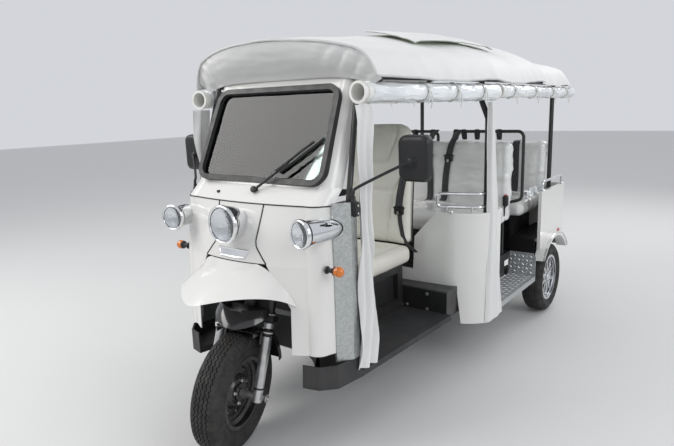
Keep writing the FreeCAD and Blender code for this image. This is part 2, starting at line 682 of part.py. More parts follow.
# Windscreen and its surround
def glass_outline(grow):
    """Rounded outline of the windscreen in its own plane, grown outwards by an amount."""
    low = GLASS_HALF_LOW + grow
    high = GLASS_HALF_HIGH + grow
    corners = [V(-low, -grow, 0), V(low, -grow, 0), V(high, GLASS_RISE + grow, 0),
               V(-high, GLASS_RISE + grow, 0)]
    radius = GLASS_CORNER_R + grow
    start = (corners[0] + corners[1]) * 0.5
    loop = rounded_path([start] + corners[1:] + [corners[0], start], radius)
    return loop


def glass_prism(grow, back, front):
    """Solid through the windscreen's outline between two depths, in the vehicle's frame."""
    solid = Part.Face(glass_outline(grow)).extrude(V(0, 0, front - back))
    solid.translate(V(0, 0, back))
    solid.rotate(V(0, 0, 0), V(1, 0, 0), 90 - GLASS_TILT)
    solid.translate(V(0, GLASS_Y, GLASS_Z))
    return solid


def windscreen():
    """Panel round the windscreen, its rubber seal and the glass."""
    seal = glass_prism(0, -12, 24).cut(glass_prism(-SEAL_W, -20, 30))
    seal = seal.cut(glass_prism(-SEAL_W + 8, -GLASS_T / 2, GLASS_T / 2))
    glass = glass_prism(-SEAL_W + 8, -GLASS_T / 2, GLASS_T / 2)
    panel = shell_of(UPPER_SKIN).cut(glass_prism(0, -60, 60))
    return {"windscreen_surround": panel, "windscreen_seal": seal, "windscreen_glass": glass}


# Door frames, dashboard, mirrors and wiper
MIRROR_X = 700.0
MIRROR_Y = 480.0
MIRROR_Z = 1330.0


def cab_fittings():
    """Galvanised door frames, dashboard shelf, mirrors and wiper."""
    frame = plan_prism([(446, 232), (455, 232), (499, 300), (499, 344), (494, 344), (494, 302),
                        (456, 251), (456, 344), (446, 344)], TRAY_Z + FIT, SEAM_Z + 12)
    frame = frame.cut(skin(LOWER_SKIN)).cut(skin(UPPER_SKIN)).cut(headlamp_bodies(LAMP_ROOM))
    frame = max(frame.Solids, key=lambda solid: solid.Volume)

    shelf = side_prism([(262, 1176), (262, 1206), (405, 1198), (418, 1186), (405, 1176)],
                       -440, 440)
    pod = side_prism([(300, 1202), (330, 1256), (372, 1240), (392, 1196)], -85, 85)
    dash = fuse([shelf, pod]).cut(skin(UPPER_SKIN).cut(skin(UPPER_SKIN, SKIN)))
    dash = dash.common(skin([(SEAM_Z - 10,) + UPPER_SKIN[0][1:]] + UPPER_SKIN[1:], SKIN + FIT)
                       .fuse(box(-380, 380, 290, 460, 1150, 1300)))
    dash = dash.cut(windscreen_clear())

    bracket = softened(box(499 + FIT, 521, 302, 342, 1092, 1158), 4)
    stem_low = V(508, 310, 1150)
    arm = tube([stem_low, V(508, 310, 1212), V(MIRROR_X - 20, MIRROR_Y - 30, MIRROR_Z - 12),
                V(MIRROR_X, MIRROR_Y, MIRROR_Z)], 7, 24)
    head = softened(box(MIRROR_X - 76, MIRROR_X + 76, MIRROR_Y - 8, MIRROR_Y + 36,
                        MIRROR_Z - 100, MIRROR_Z + 100), 16)
    mirror_left = fuse([bracket, arm, head])

    pivot = V(40, 214, 1190)
    sweep = [pivot, V(210, 262, 1310), V(330, 300, 1402)]
    post = rod(V(40, 224, 1186), pivot + V(0, -26, 10), 11)
    arm_rod = rod(pivot + V(0, -20, 8), sweep[1] + V(0, -22, 10), 6)
    blade = rod(sweep[1] + V(-60, -40, -26), sweep[2] + V(0, -22, 10), 6)
    wiper = fuse([post, arm_rod, blade]).cut(skin(UPPER_SKIN))
    return {"front_frame_posts": pair(frame), "dashboard": dash, "mirrors": pair(mirror_left),
            "wiper": max(wiper.Solids, key=lambda solid: solid.Volume)}


def windscreen_clear():
    """Space that the glass and its seal take."""
    return glass_prism(1, -13, 30)


# Lamps
CENTRE_LAMP = V(0, 22, 1062)
CENTRE_LAMP_R = 86.0
SIDE_LAMP = V(405, 70, 1050)
SIDE_LAMP_R = 63.0
SIDE_LAMP_L = 240.0
SIDE_LAMP_TURN = 12.0
RING_L = 14.0
RING_STEP = 6.0
LENS_T = 4.0
LENS_DOME = 10.0
LENS_INSET = 10.0
BOWL_DEPTH = 52.0
LAMP_ROOM = 4.0
SIGNAL = V(507, 190, 880)
SIGNAL_R = 23.0
SIGNAL_L = 46.0


def lamp_body(centre, radius, length, turn):
    """Round lamp shell: a trim ring, then a body that closes in an egg-shaped tail."""
    neck = V(radius - RING_STEP, RING_L, 0)
    tip = V(0, RING_L + length, 0)
    egg = Part.Ellipse(tip, neck, V(0, RING_L, 0))
    tail = Part.ArcOfEllipse(egg, egg.parameter(tip), egg.parameter(neck)).toShape()
    edges = [Part.makeLine(V(0, 0, 0), V(radius - RING_STEP / 2, 0, 0)),
             Part.Arc(V(radius - RING_STEP / 2, 0, 0), V(radius, RING_L / 2, 0), neck).toShape(),
             tail, Part.makeLine(tip, V(0, 0, 0))]
    solid = Part.Face(Part.Wire(Part.__sortEdges__(edges))).revolve(V(0, 0, 0), V(0, 1, 0), 360)
    solid.rotate(V(0, 0, 0), V(0, 0, 1), -turn)
    solid.translate(centre)
    return solid


def lamp_bowl(centre, radius, depth, turn):
    """Space inside a lamp behind its lens."""
    bowl = Part.makeCone(radius - LENS_INSET, radius * 0.4, depth, V(0, 0, 0), V(0, 1, 0))
    bowl.rotate(V(0, 0, 0), V(0, 0, 1), -turn)
    bowl.translate(centre)
    return bowl


def lamp_lens(centre, radius, turn):
    """Domed glass in the mouth of a lamp."""
    half = radius - LENS_INSET
    ball_r = (half ** 2 + LENS_DOME ** 2) / (2 * LENS_DOME)
    ball_y = ball_r - LENS_DOME
    part_way = math.asin(half / ball_r) / 2
    middle = V(ball_r * math.sin(part_way), ball_y - ball_r * math.cos(part_way), 0)
    top = V(0, -LENS_DOME, 0)
    edges = [Part.Arc(V(half, 0, 0), middle, top).toShape(), Part.makeLine(top, V(0, LENS_T, 0)),
             Part.makeLine(V(0, LENS_T, 0), V(half, LENS_T, 0)),
             Part.makeLine(V(half, LENS_T, 0), V(half, 0, 0))]
    solid = Part.Face(Part.Wire(edges)).revolve(V(0, 0, 0), V(0, 1, 0), 360)
    solid.rotate(V(0, 0, 0), V(0, 0, 1), -turn)
    solid.translate(centre)
    return solid


LAMPS = [(CENTRE_LAMP, CENTRE_LAMP_R, 130.0, 0.0),
         (SIDE_LAMP, SIDE_LAMP_R, SIDE_LAMP_L - RING_L, SIDE_LAMP_TURN)]


def headlamp_bodies(grow=0.0):
    """All three lamp shells as closed solids, grown all round by an amount."""
    bodies = [lamp_body(centre, radius + grow, length + grow, turn)
              for centre, radius, length, turn in LAMPS]
    return Part.makeCompound(bodies + [mirror(bodies[1])])


def lamps():
    """Chrome headlamp shells, their lenses and the turn signals."""
    shells = []
    lenses = []
    for centre, radius, length, turn in LAMPS:
        lens = lamp_lens(centre, radius, turn)
        shell = lamp_body(centre, radius, length, turn)
        shells.append(shell.cut(lens).cut(lamp_bowl(centre, radius, BOWL_DEPTH, turn)))
        lenses.append(lens)
    shells.append(mirror(shells[1]))
    lenses.append(mirror(lenses[1]))
    stalk = rod(V(430, 212, 886), SIGNAL, 9).cut(skin(LOWER_SKIN))
    bulb = Part.makeSphere(SIGNAL_R, V(0, 0, 0))
    stretch = FreeCAD.Matrix()
    stretch.scale(V(1.1, 0.9, 1))
    bulb = bulb.transformGeometry(stretch)
    bulb.translate(SIGNAL)
    signal = max(stalk.Solids, key=lambda solid: solid.Volume).fuse(bulb)
    return {"headlamp_shells": Part.makeCompound(shells),
            "headlamp_lenses": Part.makeCompound(lenses), "turn_signals": pair(signal)}


# Seats
SEAT_HALF = 250.0
SEAT_BACK_Y = BOX_FRONT_Y - 7.0
SEAT_FRONT_Y = SEAT_BACK_Y - 415.0
SEAT_BASE_Z = 628.0
SEAT_CUSHION_Z = 742.0
SEAT_TOP_Z = 1450.0
BENCH_BASE_Z = 745.0
SOFT_GAP = 0.6
BACK_SEAT = 1.4
# Driver's backrest, from the table's columns: half-width, lean behind the foot, depth, height
SEAT_BACK = [
    (SEAT_HALF, 0, 95, SEAT_CUSHION_Z + SOFT_GAP),
    (SEAT_HALF - 12, 47, 104, 1130),
    (SEAT_HALF - 78, 113, 92, SEAT_TOP_Z),
]
HOUSE_X = TRACK / 2 - REAR_TYRE_W / 2 - 79.0
# Benches, from the table's columns: half-width of the base, half-width of the cushion,
# y of the cushion's front, depth to the back's foot, lean of the back, cushion height, back height
BENCHES = [
    (DECK_HALF - 7, BODY_HALF - 130, BENCH_ONE_Y, BENCH_ONE_DEPTH, 34, 872, 1292),
    (HOUSE_X - 1, BODY_HALF - 125, BENCH_TWO_Y, BENCH_TWO_DEPTH, 36, 862, 1254),
]
HOOP_R = 11.0
HOOP_TOP_Z = 1362.0


def seats():
    """Driver's seat and the two benches, with their bases and belt hoops."""
    half = SEAT_HALF - 35
    front = SEAT_FRONT_Y
    pedestal = side_prism([(front + 70, FLOOR_Z + FIT), (front + 35, SEAT_BASE_Z),
                           (BOX_FRONT_Y - 8, SEAT_BASE_Z), (BOX_FRONT_Y - 8, FLOOR_Z + FIT)],
                          -half, half)
    kick = side_prism([(front + 100, FLOOR_Z + 60), (front + 80, SEAT_BASE_Z - 40),
                       (BOX_FRONT_Y - 62, SEAT_BASE_Z - 40), (BOX_FRONT_Y - 62, FLOOR_Z + 60)],
                      -half - 15, half + 15)
    web = box(-half + 30, half - 30, front, BOX_FRONT_Y + 80, FLOOR_Z - 70, SEAT_BASE_Z + 70)
    pedestal = pedestal.cut(kick.cut(web))
    cushion = softened(box(-SEAT_HALF, SEAT_HALF, SEAT_FRONT_Y, SEAT_BACK_Y + 60,
                           SEAT_BASE_Z + SOFT_GAP, SEAT_CUSHION_Z), 30)
    rings = []
    for half, lean, depth, z in SEAT_BACK:
        y = SEAT_BACK_Y + lean
        rings.append(outline([V(-half, y, z), V(half, y, z), V(half, y + depth, z),
                              V(-half, y + depth, z)]))
    back = Part.makeLoft(rings, True, True)
    back = back.makeFillet(26, [edge for edge in back.Edges
                                if edge.BoundBox.ZLength > 60 or edge.BoundBox.ZMin > SEAT_TOP_Z - 5])

    bases = []
    cushions = []
    backs = []
    for base_half, half, front, depth, lean, seat_z, back_z in BENCHES:
        foot = front + depth
        top = foot + lean
        ground = DECK_Z if front < BOX_REAR_Y else RAIL_REAR_Z + RAIL_REAR_H
        base = box(-base_half, base_half, front + 70, foot - 8, ground + FIT, BENCH_BASE_Z)
        toe = box(-base_half + 25, base_half - 25, front + 60, front + 160, ground - 5,
                  BENCH_BASE_Z - 35)
        bases.append(base.cut(toe))
        cushions.append(softened(box(-half, half, front, foot + BACK_SEAT, BENCH_BASE_Z + SOFT_GAP,
                                     seat_z), 32))
        pad = side_prism([(foot, BENCH_BASE_Z + 18), (foot + BACK_T, BENCH_BASE_Z + 18),
                          (top + BACK_T, back_z), (top, back_z)], -half, half)
        backs.append(softened(pad, 28))
    hoop_x = BODY_HALF - 83
    foot_x = DECK_HALF - 22
    hoop = tube([V(62, HOOP_Y, DECK_Z + FIT), V(62, HOOP_Y, HOOP_TOP_Z),
                 V(hoop_x, HOOP_Y, HOOP_TOP_Z), V(hoop_x, HOOP_Y, 900), V(foot_x, HOOP_Y, 860),
                 V(foot_x, HOOP_Y, DECK_Z + FIT)], HOOP_R, 40)
    return {"driver_seat_base": pedestal, "driver_seat_pads": Part.makeCompound([cushion, back]),
            "bench_bases": Part.makeCompound(bases),
            "bench_cushions": Part.makeCompound(cushions),
            "bench_backs": Part.makeCompound(backs), "bench_hoops": pair(hoop)}


# Body sides, steps and grab rails
WHEEL_HOUSE_Z = 2 * REAR_TYRE_R + 90.0
ARCH_R = REAR_TYRE_R + 65.0
ARCH_LIP_R = ARCH_R + 28.0
ARCH_LIP_OUT = 47.0
LEDGE_HALF = 130.0
RAIL_GRIP_R = 9.0


def bulkhead_wall():
    """Curved wall behind the driver that turns the corner into the body's side."""
    inner = []
    for inset in (0, WALL):
        points = [V(LEDGE_HALF, BULKHEAD_Y + inset, 0), V(400, BULKHEAD_Y + 10 + inset, 0),
                  V(BODY_HALF - 70 - inset * 0.6, BULKHEAD_Y + 69 + inset * 0.8, 0),
                  V(BODY_HALF - inset, POST_B_Y - 20, 0),
                  V(BODY_HALF - inset, STEP_FRONT_Y - 18, 0)]
        inner.append(points)
    edges = []
    for points in inner:
        edges.append(Part.makeLine(points[0], points[1]))
        edges.append(Part.Arc(points[1], points[2], points[3]).toShape())
        edges.append(Part.makeLine(points[3], points[4]))
    edges.append(Part.makeLine(inner[0][0], inner[1][0]))
    edges.append(Part.makeLine(inner[0][-1], inner[1][-1]))
    face = Part.Face(Part.Wire(Part.__sortEdges__(edges)))
    wall = face.extrude(V(0, 0, SIDE_TOP_Z - 270))
    wall.translate(V(0, 0, 270))
    return wall


def body_sides():
    """Bulkhead panels, rear side panels with their arches, steps, wheel houses and rails."""
    shape = [(LEDGE_HALF - 5, DECK_Z + FIT), (LEDGE_HALF - 5, 572), (218, 572), (228, 778),
             (368, SIDE_TOP_Z), (BODY_HALF + 65, SIDE_TOP_Z), (BODY_HALF + 65, 270),
             (DECK_HALF + 60, 270), (DECK_HALF + 34, DECK_Z - 10),
             (WING_HALF + FIT, DECK_Z + FIT)]
    bulkhead = bulkhead_wall().common(front_prism(shape, BULKHEAD_Y - 135, STEP_FRONT_Y + 160))
    bulkhead = bulkhead.cut(box(-WING_HALF - FIT, WING_HALF + FIT, BULKHEAD_Y - 135,
                                BULKHEAD_Y + 65, 200, DECK_Z + FIT))

    panel = box(BODY_HALF - WALL, BODY_HALF, REAR_PANEL_Y0, TAIL_Y - FIT, 450, SIDE_TOP_Z)
    hub = V(0, REAR_AXLE_Y, REAR_TYRE_R)
    panel = panel.cut(Part.makeCylinder(ARCH_R, 800, hub, V(1, 0, 0)))
    lip_x = BODY_HALF + ARCH_LIP_OUT
    lip = Part.makeCylinder(ARCH_LIP_R, ARCH_LIP_OUT + WALL, hub + V(BODY_HALF - WALL, 0, 0),
                            V(1, 0, 0))
    lip = lip.cut(Part.makeCylinder(ARCH_R, 800, hub, V(1, 0, 0)))
    lip = lip.makeChamfer(14, [edge for edge in lip.Edges
                               if edge.BoundBox.XMin > lip_x - 1
                               and edge.BoundBox.ZLength > 2 * ARCH_R + 30])
    lip = lip.common(box(BODY_HALF - 155, BODY_HALF + 145, REAR_AXLE_Y - ARCH_LIP_R - 80,
                         REAR_AXLE_Y + ARCH_LIP_R + 80, 450, REAR_TYRE_R + ARCH_LIP_R + 80))
    rear_panel = fuse([panel, lip])

    tread = box(DECK_HALF + FIT, CHECKER_X, STEP_FRONT_Y, STEP_REAR_Y, STEP_Z - STEP_T, STEP_Z)
    edge = box(CHECKER_X - 6, CHECKER_X, STEP_FRONT_Y, STEP_REAR_Y, STEP_Z - 36, STEP_Z)
    front_edge = box(DECK_HALF + FIT, CHECKER_X, STEP_FRONT_Y, STEP_FRONT_Y + 5, STEP_Z - 36, STEP_Z)
    back = box(DECK_HALF + FIT, CHECKER_X, STEP_REAR_Y - 5, STEP_REAR_Y, STEP_Z - 36, DECK_Z - 20)
    brace = box(RAIL_X + RAIL_W / 2, DECK_HALF + FIT + 4, STEP_FRONT_Y, STEP_FRONT_Y + 30,
                STEP_Z - 36, STEP_Z - STEP_T)
    brace_rear = box(RAIL_X + RAIL_W / 2, DECK_HALF + FIT + 4, KICK_Y - 70, KICK_Y - 30,
                     STEP_Z - 36, STEP_Z - STEP_T)
    step = fuse([tread, edge, front_edge, back, brace, brace_rear])

    shelf = box(HOUSE_X, BODY_HALF - WALL - FIT, STEP_REAR_Y + 4, TAIL_Y - FIT,
                WHEEL_HOUSE_Z - 4, WHEEL_HOUSE_Z)
    front_wall = box(DECK_HALF - 14, BODY_HALF - WALL - FIT, STEP_REAR_Y + FIT, STEP_REAR_Y + 4,
                     STEP_Z - 30, WHEEL_HOUSE_Z)
    inner_wall = box(HOUSE_X, HOUSE_X + 4, STEP_REAR_Y + FIT, TAIL_Y - FIT,
                     RAIL_REAR_Z + RAIL_REAR_H + 2, WHEEL_HOUSE_Z)
    house = fuse([shelf, front_wall, inner_wall])

    plan = [(POST_B_X, POST_B_Y - 26), (POST_B_X - 12, POST_B_Y - 64), (372, BULKHEAD_Y + 20)]
    points = [V(x, y, SIDE_TOP_Z + 110) for x, y in plan]
    points += [V(x, y, SIDE_TOP_Z + 33) for x, y in reversed(plan)]
    rail = tube(points, RAIL_GRIP_R, 22)
    feet = [rod(V(x, y, SIDE_TOP_Z - 20), V(x, y, SIDE_TOP_Z + 35), 7)
            for x, y in ((425, BULKHEAD_Y + 34), (POST_B_X - 52, POST_B_Y - 84))]
    rail = fuse([rail] + feet)
    rail = rail.cut(bulkhead)
    rear_rail_x = BODY_HALF - WALL / 2
    rear_rail_y = (REAR_PANEL_Y0 + 45, TAIL_Y - 40)
    rear_rail = tube([V(rear_rail_x, rear_rail_y[0], SIDE_TOP_Z),
                      V(rear_rail_x, rear_rail_y[0], SIDE_TOP_Z + 65),
                      V(rear_rail_x, rear_rail_y[1], SIDE_TOP_Z + 65),
                      V(rear_rail_x, rear_rail_y[1], SIDE_TOP_Z)], RAIL_GRIP_R, 25)
    rails = [max(rail.Solids, key=lambda solid: solid.Volume), rear_rail]
    rails += [mirror(shape) for shape in rails]
    return {"bulkhead_panels": pair(bulkhead), "rear_side_panels": pair(rear_panel),
            "steps_and_houses": Part.makeCompound([step, house, mirror(step), mirror(house)]),
            "grab_rails": Part.makeCompound(rails)}


# Tail panel and lamps
def tail():
    """Tail panel between the rear side panels, with its lamp clusters."""
    panel = box(-BODY_HALF, BODY_HALF, TAIL_Y, TAIL_Y + WALL, 452, SIDE_TOP_Z)
    panel = panel.makeFillet(16, [edge for edge in panel.Edges
                                  if edge.BoundBox.YMin > TAIL_Y + WALL - 1])
    lamp = softened(box(BODY_HALF - 200, BODY_HALF - 45, TAIL_Y + WALL + FIT, TAIL_Y + WALL + 34,
                        742, 806), 10)
    return {"tail_panel": panel, "tail_lamps": pair(lamp)}


# Roof frame and canvas
# Roof canvas, from the table's columns: y, half-width at the edge, edge height, crest height
ROOF = [
    (276, 545, ROOF_EDGE_Z, 1852),
    (POST_B_Y - 450, BODY_HALF - 33, ROOF_EDGE_Z, 1945),
    (POST_B_Y + 20, BODY_HALF, ROOF_EDGE_Z, 1972),
    (BENCH_TWO_Y, BODY_HALF - 10, ROOF_EDGE_Z + 8, 1972),
    (ROOF_REAR_Y, BODY_HALF - 30, ROOF_EDGE_Z + 12, 1878),
]
CANVAS_T = 8.0
SHOULDER_IN = 62.0
SHOULDER_UP = 100.0
BOW_R = 12.0
POST_R = 16.0
ROLL_Z = 1612.0
ROLL_R = 50.0
REAR_ROLL_R = 44.0
RAIL_GAP = 0.6


def canvas_wire(row, inset):
    """Arched section of the roof canvas at one station."""
    y, half, edge_z, crest_z = row
    half -= inset
    shoulder_x = half - SHOULDER_IN
    shoulder_z = edge_z + SHOULDER_UP - inset * 0.6
    left = V(half, y, edge_z)
    shoulder = V(shoulder_x, y, shoulder_z)
    crest = V(0, y, crest_z - inset)
    return Part.Wire([
        Part.makeLine(left, shoulder),
        Part.Arc(shoulder, crest, V(-shoulder_x, y, shoulder_z)).toShape(),
        Part.makeLine(V(-shoulder_x, y, shoulder_z), V(-half, y, edge_z)),
        Part.makeLine(V(-half, y, edge_z), left)])


def side_line(y, table):
    """Value on a broken line given as (y, value) pairs."""
    for (y0, v0), (y1, v1) in zip(table, table[1:]):
        if y <= y1:
            return v0 + (v1 - v0) * (y - y0) / (y1 - y0)
    return table[-1][1]


def bow_height(arc, x):
    """Height of a roof bow's middle line above a point at x across the vehicle."""
    circle = arc.Curve
    return circle.Center.z + math.sqrt(circle.Radius ** 2 - x * x)


ROLL_LINE = [(370, CAB_HALF), (POST_B_Y + 20, BODY_HALF - 10), (ROOF_REAR_Y + 85, BODY_HALF - 49)]
CREST_LINE = [(row[0], row[3]) for row in ROOF]


def roof():
    """Tube frame with its posts, the canvas over it and the canvas visor over the windscreen."""
    outer = Part.makeLoft([canvas_wire(row, 0) for row in ROOF], True, True)
    inner_rows = [(ROOF[0][0] - 1,) + ROOF[0][1:]] + ROOF[1:-1] + [(ROOF[-1][0] + 1,) + ROOF[-1][1:]]
    inner = Part.makeLoft([canvas_wire(row, CANVAS_T) for row in inner_rows], True, True)
    canvas = outer.cut(inner.translated(V(0, 0, -0.5)))
    arc = Part.Arc(V(-720, 520, 1500), V(0, 290, 1500), V(720, 520, 1500)).toShape()
    front = Part.Face(Part.Wire([arc, Part.makeLine(V(720, 520, 1500), V(720, 100, 1500)),
                                 Part.makeLine(V(720, 100, 1500), V(-720, 100, 1500)),
                                 Part.makeLine(V(-720, 100, 1500), V(-720, 520, 1500))]))
    canvas = canvas.cut(front.extrude(V(0, 0, 600)))

    rail_z = ROLL_Z + ROLL_R + POST_R + RAIL_GAP
    rail = tube([V(side_line(y, ROLL_LINE), y, rail_z)
                 for y in (470, POST_B_Y + 20, ROOF_REAR_Y - 50)], POST_R - 3, 400)
    bows = []
    bow_arcs = {}
    for y in (485, POST_B_Y, HOOP_Y - 24, POST_R_Y):
        half = side_line(y, ROLL_LINE)
        crest = side_line(y, CREST_LINE) - CANVAS_T - BOW_R - 14
        arc = Part.Arc(V(-half, y, rail_z), V(0, y, crest), V(half, y, rail_z)).toShape()
        ring = Part.Wire(Part.makeCircle(BOW_R, V(-half, y, rail_z),
                                         arc.tangentAt(arc.FirstParameter)))
        bows.append(Part.Wire([arc]).makePipeShell([ring], True, False))
        bow_arcs[y] = arc
    post_a = tube([V(POST_A_FOOT_X, 322, TRAY_Z + FIT), V(POST_A_FOOT_X, 322, SEAM_Z + 20),
                   V(POST_A_X, 440, 1600), V(POST_A_X, 485, bow_height(bow_arcs[485], POST_A_X))],
                  POST_R - 3, 60)
    post_b = tube([V(POST_B_X, POST_B_Y, OUTRIGGER_Z + MEMBER_R + FIT), V(POST_B_X, POST_B_Y, 1470),
                   V(POST_B_TOP_X, POST_B_Y, 1570),
                   V(POST_B_TOP_X, POST_B_Y, bow_height(bow_arcs[POST_B_Y], POST_B_TOP_X))],
                  POST_R, 60)
    post_r = rod(V(POST_R_X, POST_R_Y, WHEEL_HOUSE_Z + FIT),
                 V(POST_R_X, POST_R_Y, bow_height(bow_arcs[POST_R_Y], POST_R_X)), POST_R)
    posts = [post_a, post_b, post_r]
    frame = fuse([rail, mirror(rail)] + bows + posts + [mirror(post) for post in posts])
    canvas = canvas.cut(frame)

    strips = []
    for x, y_top, z_top, y_low, z_low in VISOR:
        strips.append(outline([V(x, y_top, z_top), V(x, y_low, z_low),
                               V(x, y_low + CANVAS_T, z_low), V(x, y_top + CANVAS_T, z_top)]))
    visor = Part.makeLoft(strips, True, True)
    visor = visor.cut(canvas).cut(frame)
    visor = max(visor.Solids, key=lambda solid: solid.Volume)
    return {"roof_frame": frame, "roof_canvas": max(canvas.Solids, key=lambda s: s.Volume),
            "visor_canvas": visor}


# Visor canvas, from the table's columns: x, y and height of its front edge, y and height of its
# foot above the windscreen
VISOR = [
    (-500, 402, 1795, 460, 1688.5),
    (-350, 344, 1845, 450, 1688.5),
    (-180, 306, 1860, 445, 1688.5),
    (0, 296, 1866, 444, 1688.5),
    (180, 306, 1860, 445, 1688.5),
    (350, 344, 1845, 450, 1688.5),
    (500, 402, 1795, 460, 1688.5),
]
PIPE_R = 42.0
PIPE_WALL = 5.0
PIPE_SHOW = 62.0
SHEET_T = 4.0


# Rolled side curtains, hanging canvas strips and post sleeves
def curtains():
    """Film curtains rolled on their pipes, and the canvas strips at the front and middle posts."""
    pipes = []
    rolls = []
    runs = [(V(CAB_HALF, 370, ROLL_Z), V(BODY_HALF - 10, POST_B_Y + 12, ROLL_Z), ROLL_R),
            (V(BODY_HALF - 10, POST_B_Y + 40, ROLL_Z + ROLL_R - REAR_ROLL_R),
             V(BODY_HALF - 49, ROOF_REAR_Y + 78, ROLL_Z + ROLL_R - REAR_ROLL_R), REAR_ROLL_R)]
    for start, end, radius in runs:
        along_run = (end - start).normalize()
        inner = rod(start - along_run, end + along_run, radius - 8 - PIPE_WALL)
        pipe = rod(start, end, radius - 8)
        roll = rod(start + along_run * PIPE_SHOW, end - along_run * 20, radius).cut(pipe)
        cap = rod(start, start + along_run * 12, radius - 2).cut(pipe)
        pipes.append(fuse([pipe, cap]).cut(inner))
        rolls.append(roll)
    pipes += [mirror(shape) for shape in pipes]
    rolls += [mirror(shape) for shape in rolls]

    hang_z = ROLL_Z - ROLL_R - SOFT_GAP
    strip = plan_prism([(CAB_HALF + 1, 346), (CAB_HALF + 1 + SHEET_T, 346),
                        (CAB_HALF + 6 + SHEET_T, 450), (CAB_HALF + 6, 450)], 388, hang_z)
    wall_x = BODY_HALF + SOFT_GAP
    y = POST_B_Y
    sleeve_rows = [(276, wall_x, y - 48, y + 200), (SIDE_TOP_Z + 5, wall_x, y - 34, y + 66),
                   (hang_z, BODY_HALF - 15, y - 30, y + 5)]
    sleeve = Part.makeLoft([outline([V(x, y0, z), V(x + SHEET_T, y0, z), V(x + SHEET_T, y1, z),
                                     V(x, y1, z)]) for z, x, y0, y1 in sleeve_rows], True, True)
    strips = [strip, sleeve, mirror(strip), mirror(sleeve)]
    return {"curtain_pipes": Part.makeCompound(pipes), "curtain_rolls": Part.makeCompound(rolls),
            "canvas_strips": Part.makeCompound(strips)}


def main():
    """Builds every node and writes it, with the origin under the middle of the footprint."""
    nodes = {}
    for group in (wheels, fork, chassis, nose, windscreen, cab_fittings, lamps,
                  seats, body_sides, tail, roof, curtains):
        nodes.update(group())
    whole = Part.makeCompound(list(nodes.values())).optimalBoundingBox(True, False)
    shift = V(-(whole.XMin + whole.XMax) / 2, -(whole.YMin + whole.YMax) / 2, -whole.ZMin)
    os.makedirs("parts", exist_ok=True)
    for name, shape in nodes.items():
        shape.translate(shift)
        shape.exportStep(os.path.join("parts", name + ".step"))
    print("origin shift", shift)
    print("steering point", STEER_POINT + shift, "axis", STEER_DIR)
    print("front axle", STEER_TURN.multVec(AXLE_START) + shift,
          "axis", STEER_TURN.Rotation.multVec(V(1, 0, 0)))


if __name__ == "__main__":
    main()
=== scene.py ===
import json
import math

import bmesh
import bpy
from bpy.props import FloatProperty, FloatVectorProperty, PointerProperty
from mathutils import Matrix, Vector, noise
from mathutils.bvhtree import BVHTree


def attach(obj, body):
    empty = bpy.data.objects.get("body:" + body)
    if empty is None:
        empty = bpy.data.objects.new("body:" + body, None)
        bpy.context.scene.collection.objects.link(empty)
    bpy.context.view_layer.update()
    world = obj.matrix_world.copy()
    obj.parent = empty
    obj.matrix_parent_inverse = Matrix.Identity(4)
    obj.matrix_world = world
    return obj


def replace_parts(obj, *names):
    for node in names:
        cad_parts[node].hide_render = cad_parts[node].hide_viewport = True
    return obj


bl_info = {
    "name": "Auto rickshaw dressing",
    "version": (1, 0, 0),
    "blender": (4, 5, 0),
    "location": "3D View > Sidebar > Rickshaw",
    "description": "Finishes, soft goods and trim for a canvas-roofed auto rickshaw",
    "category": "Object",
}

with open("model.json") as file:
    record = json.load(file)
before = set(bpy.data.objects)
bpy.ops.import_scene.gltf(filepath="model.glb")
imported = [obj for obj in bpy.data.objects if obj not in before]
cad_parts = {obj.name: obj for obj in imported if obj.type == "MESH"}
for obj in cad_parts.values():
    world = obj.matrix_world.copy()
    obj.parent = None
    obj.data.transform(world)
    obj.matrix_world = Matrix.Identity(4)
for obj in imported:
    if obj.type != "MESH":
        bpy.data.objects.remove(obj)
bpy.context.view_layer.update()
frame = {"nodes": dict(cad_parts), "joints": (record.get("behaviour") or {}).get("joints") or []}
NODES = frame["nodes"]
JOINTS = {joint["name"]: joint for joint in frame["joints"]}
FINISHES = {}

# Places are given in metres from the nose datum, which lies on the ground ahead of the rear axle
REAR_AXLE_STATION = 2.630
REAR_TYRE_R = 0.257
LEFT_HUB = Vector(JOINTS["rear_wheel_left_spin"]["pos_m"])
FRONT_HUB = Vector(JOINTS["front_wheel_spin"]["pos_m"])
FRONT_AXLE = Vector(JOINTS["front_wheel_spin"]["axis"]).normalized()
STEER_AXIS = Vector(JOINTS["steering_turn"]["axis"]).normalized()
DATUM = Vector((0.0, LEFT_HUB.y - REAR_AXLE_STATION, LEFT_HUB.z - REAR_TYRE_R))
X_AXIS = Vector((1, 0, 0))
Y_AXIS = Vector((0, 1, 0))
Z_AXIS = Vector((0, 0, 1))
FORWARD = Vector((0, -1, 0))


def at(x, y, z):
    """Point given from the nose datum, in the frame."""
    return Vector((x, y, z)) + DATUM


def all_at(points):
    """Points given from the nose datum, in the frame."""
    return [at(*p) for p in points]


# Forms: each part is a pair of its points and faces
def grid_faces(rows, columns, wrap_rows=False, wrap_columns=False):
    """Quads of a grid of points stored row by row."""
    faces = []
    for i in range(rows if wrap_rows else rows - 1):
        for j in range(columns if wrap_columns else columns - 1):
            low, high = i * columns, (i + 1) % rows * columns
            after = (j + 1) % columns
            faces.append((low + j, low + after, high + after, high + j))
    return faces


def point_grid(rows, columns, place):
    """Grid of points, each placed by its share of the way along the rows and the columns."""
    return [[place(i / (rows - 1), j / (columns - 1)) for j in range(columns)] for i in range(rows)]


def loft(rings):
    """Part through closed rings of equal count, with its ends closed."""
    columns = len(rings[0])
    last = (len(rings) - 1) * columns
    faces = grid_faces(len(rings), columns, False, True)
    faces.append(tuple(reversed(range(columns))))
    faces.append(tuple(range(last, last + columns)))
    return [p for ring in rings for p in ring], faces


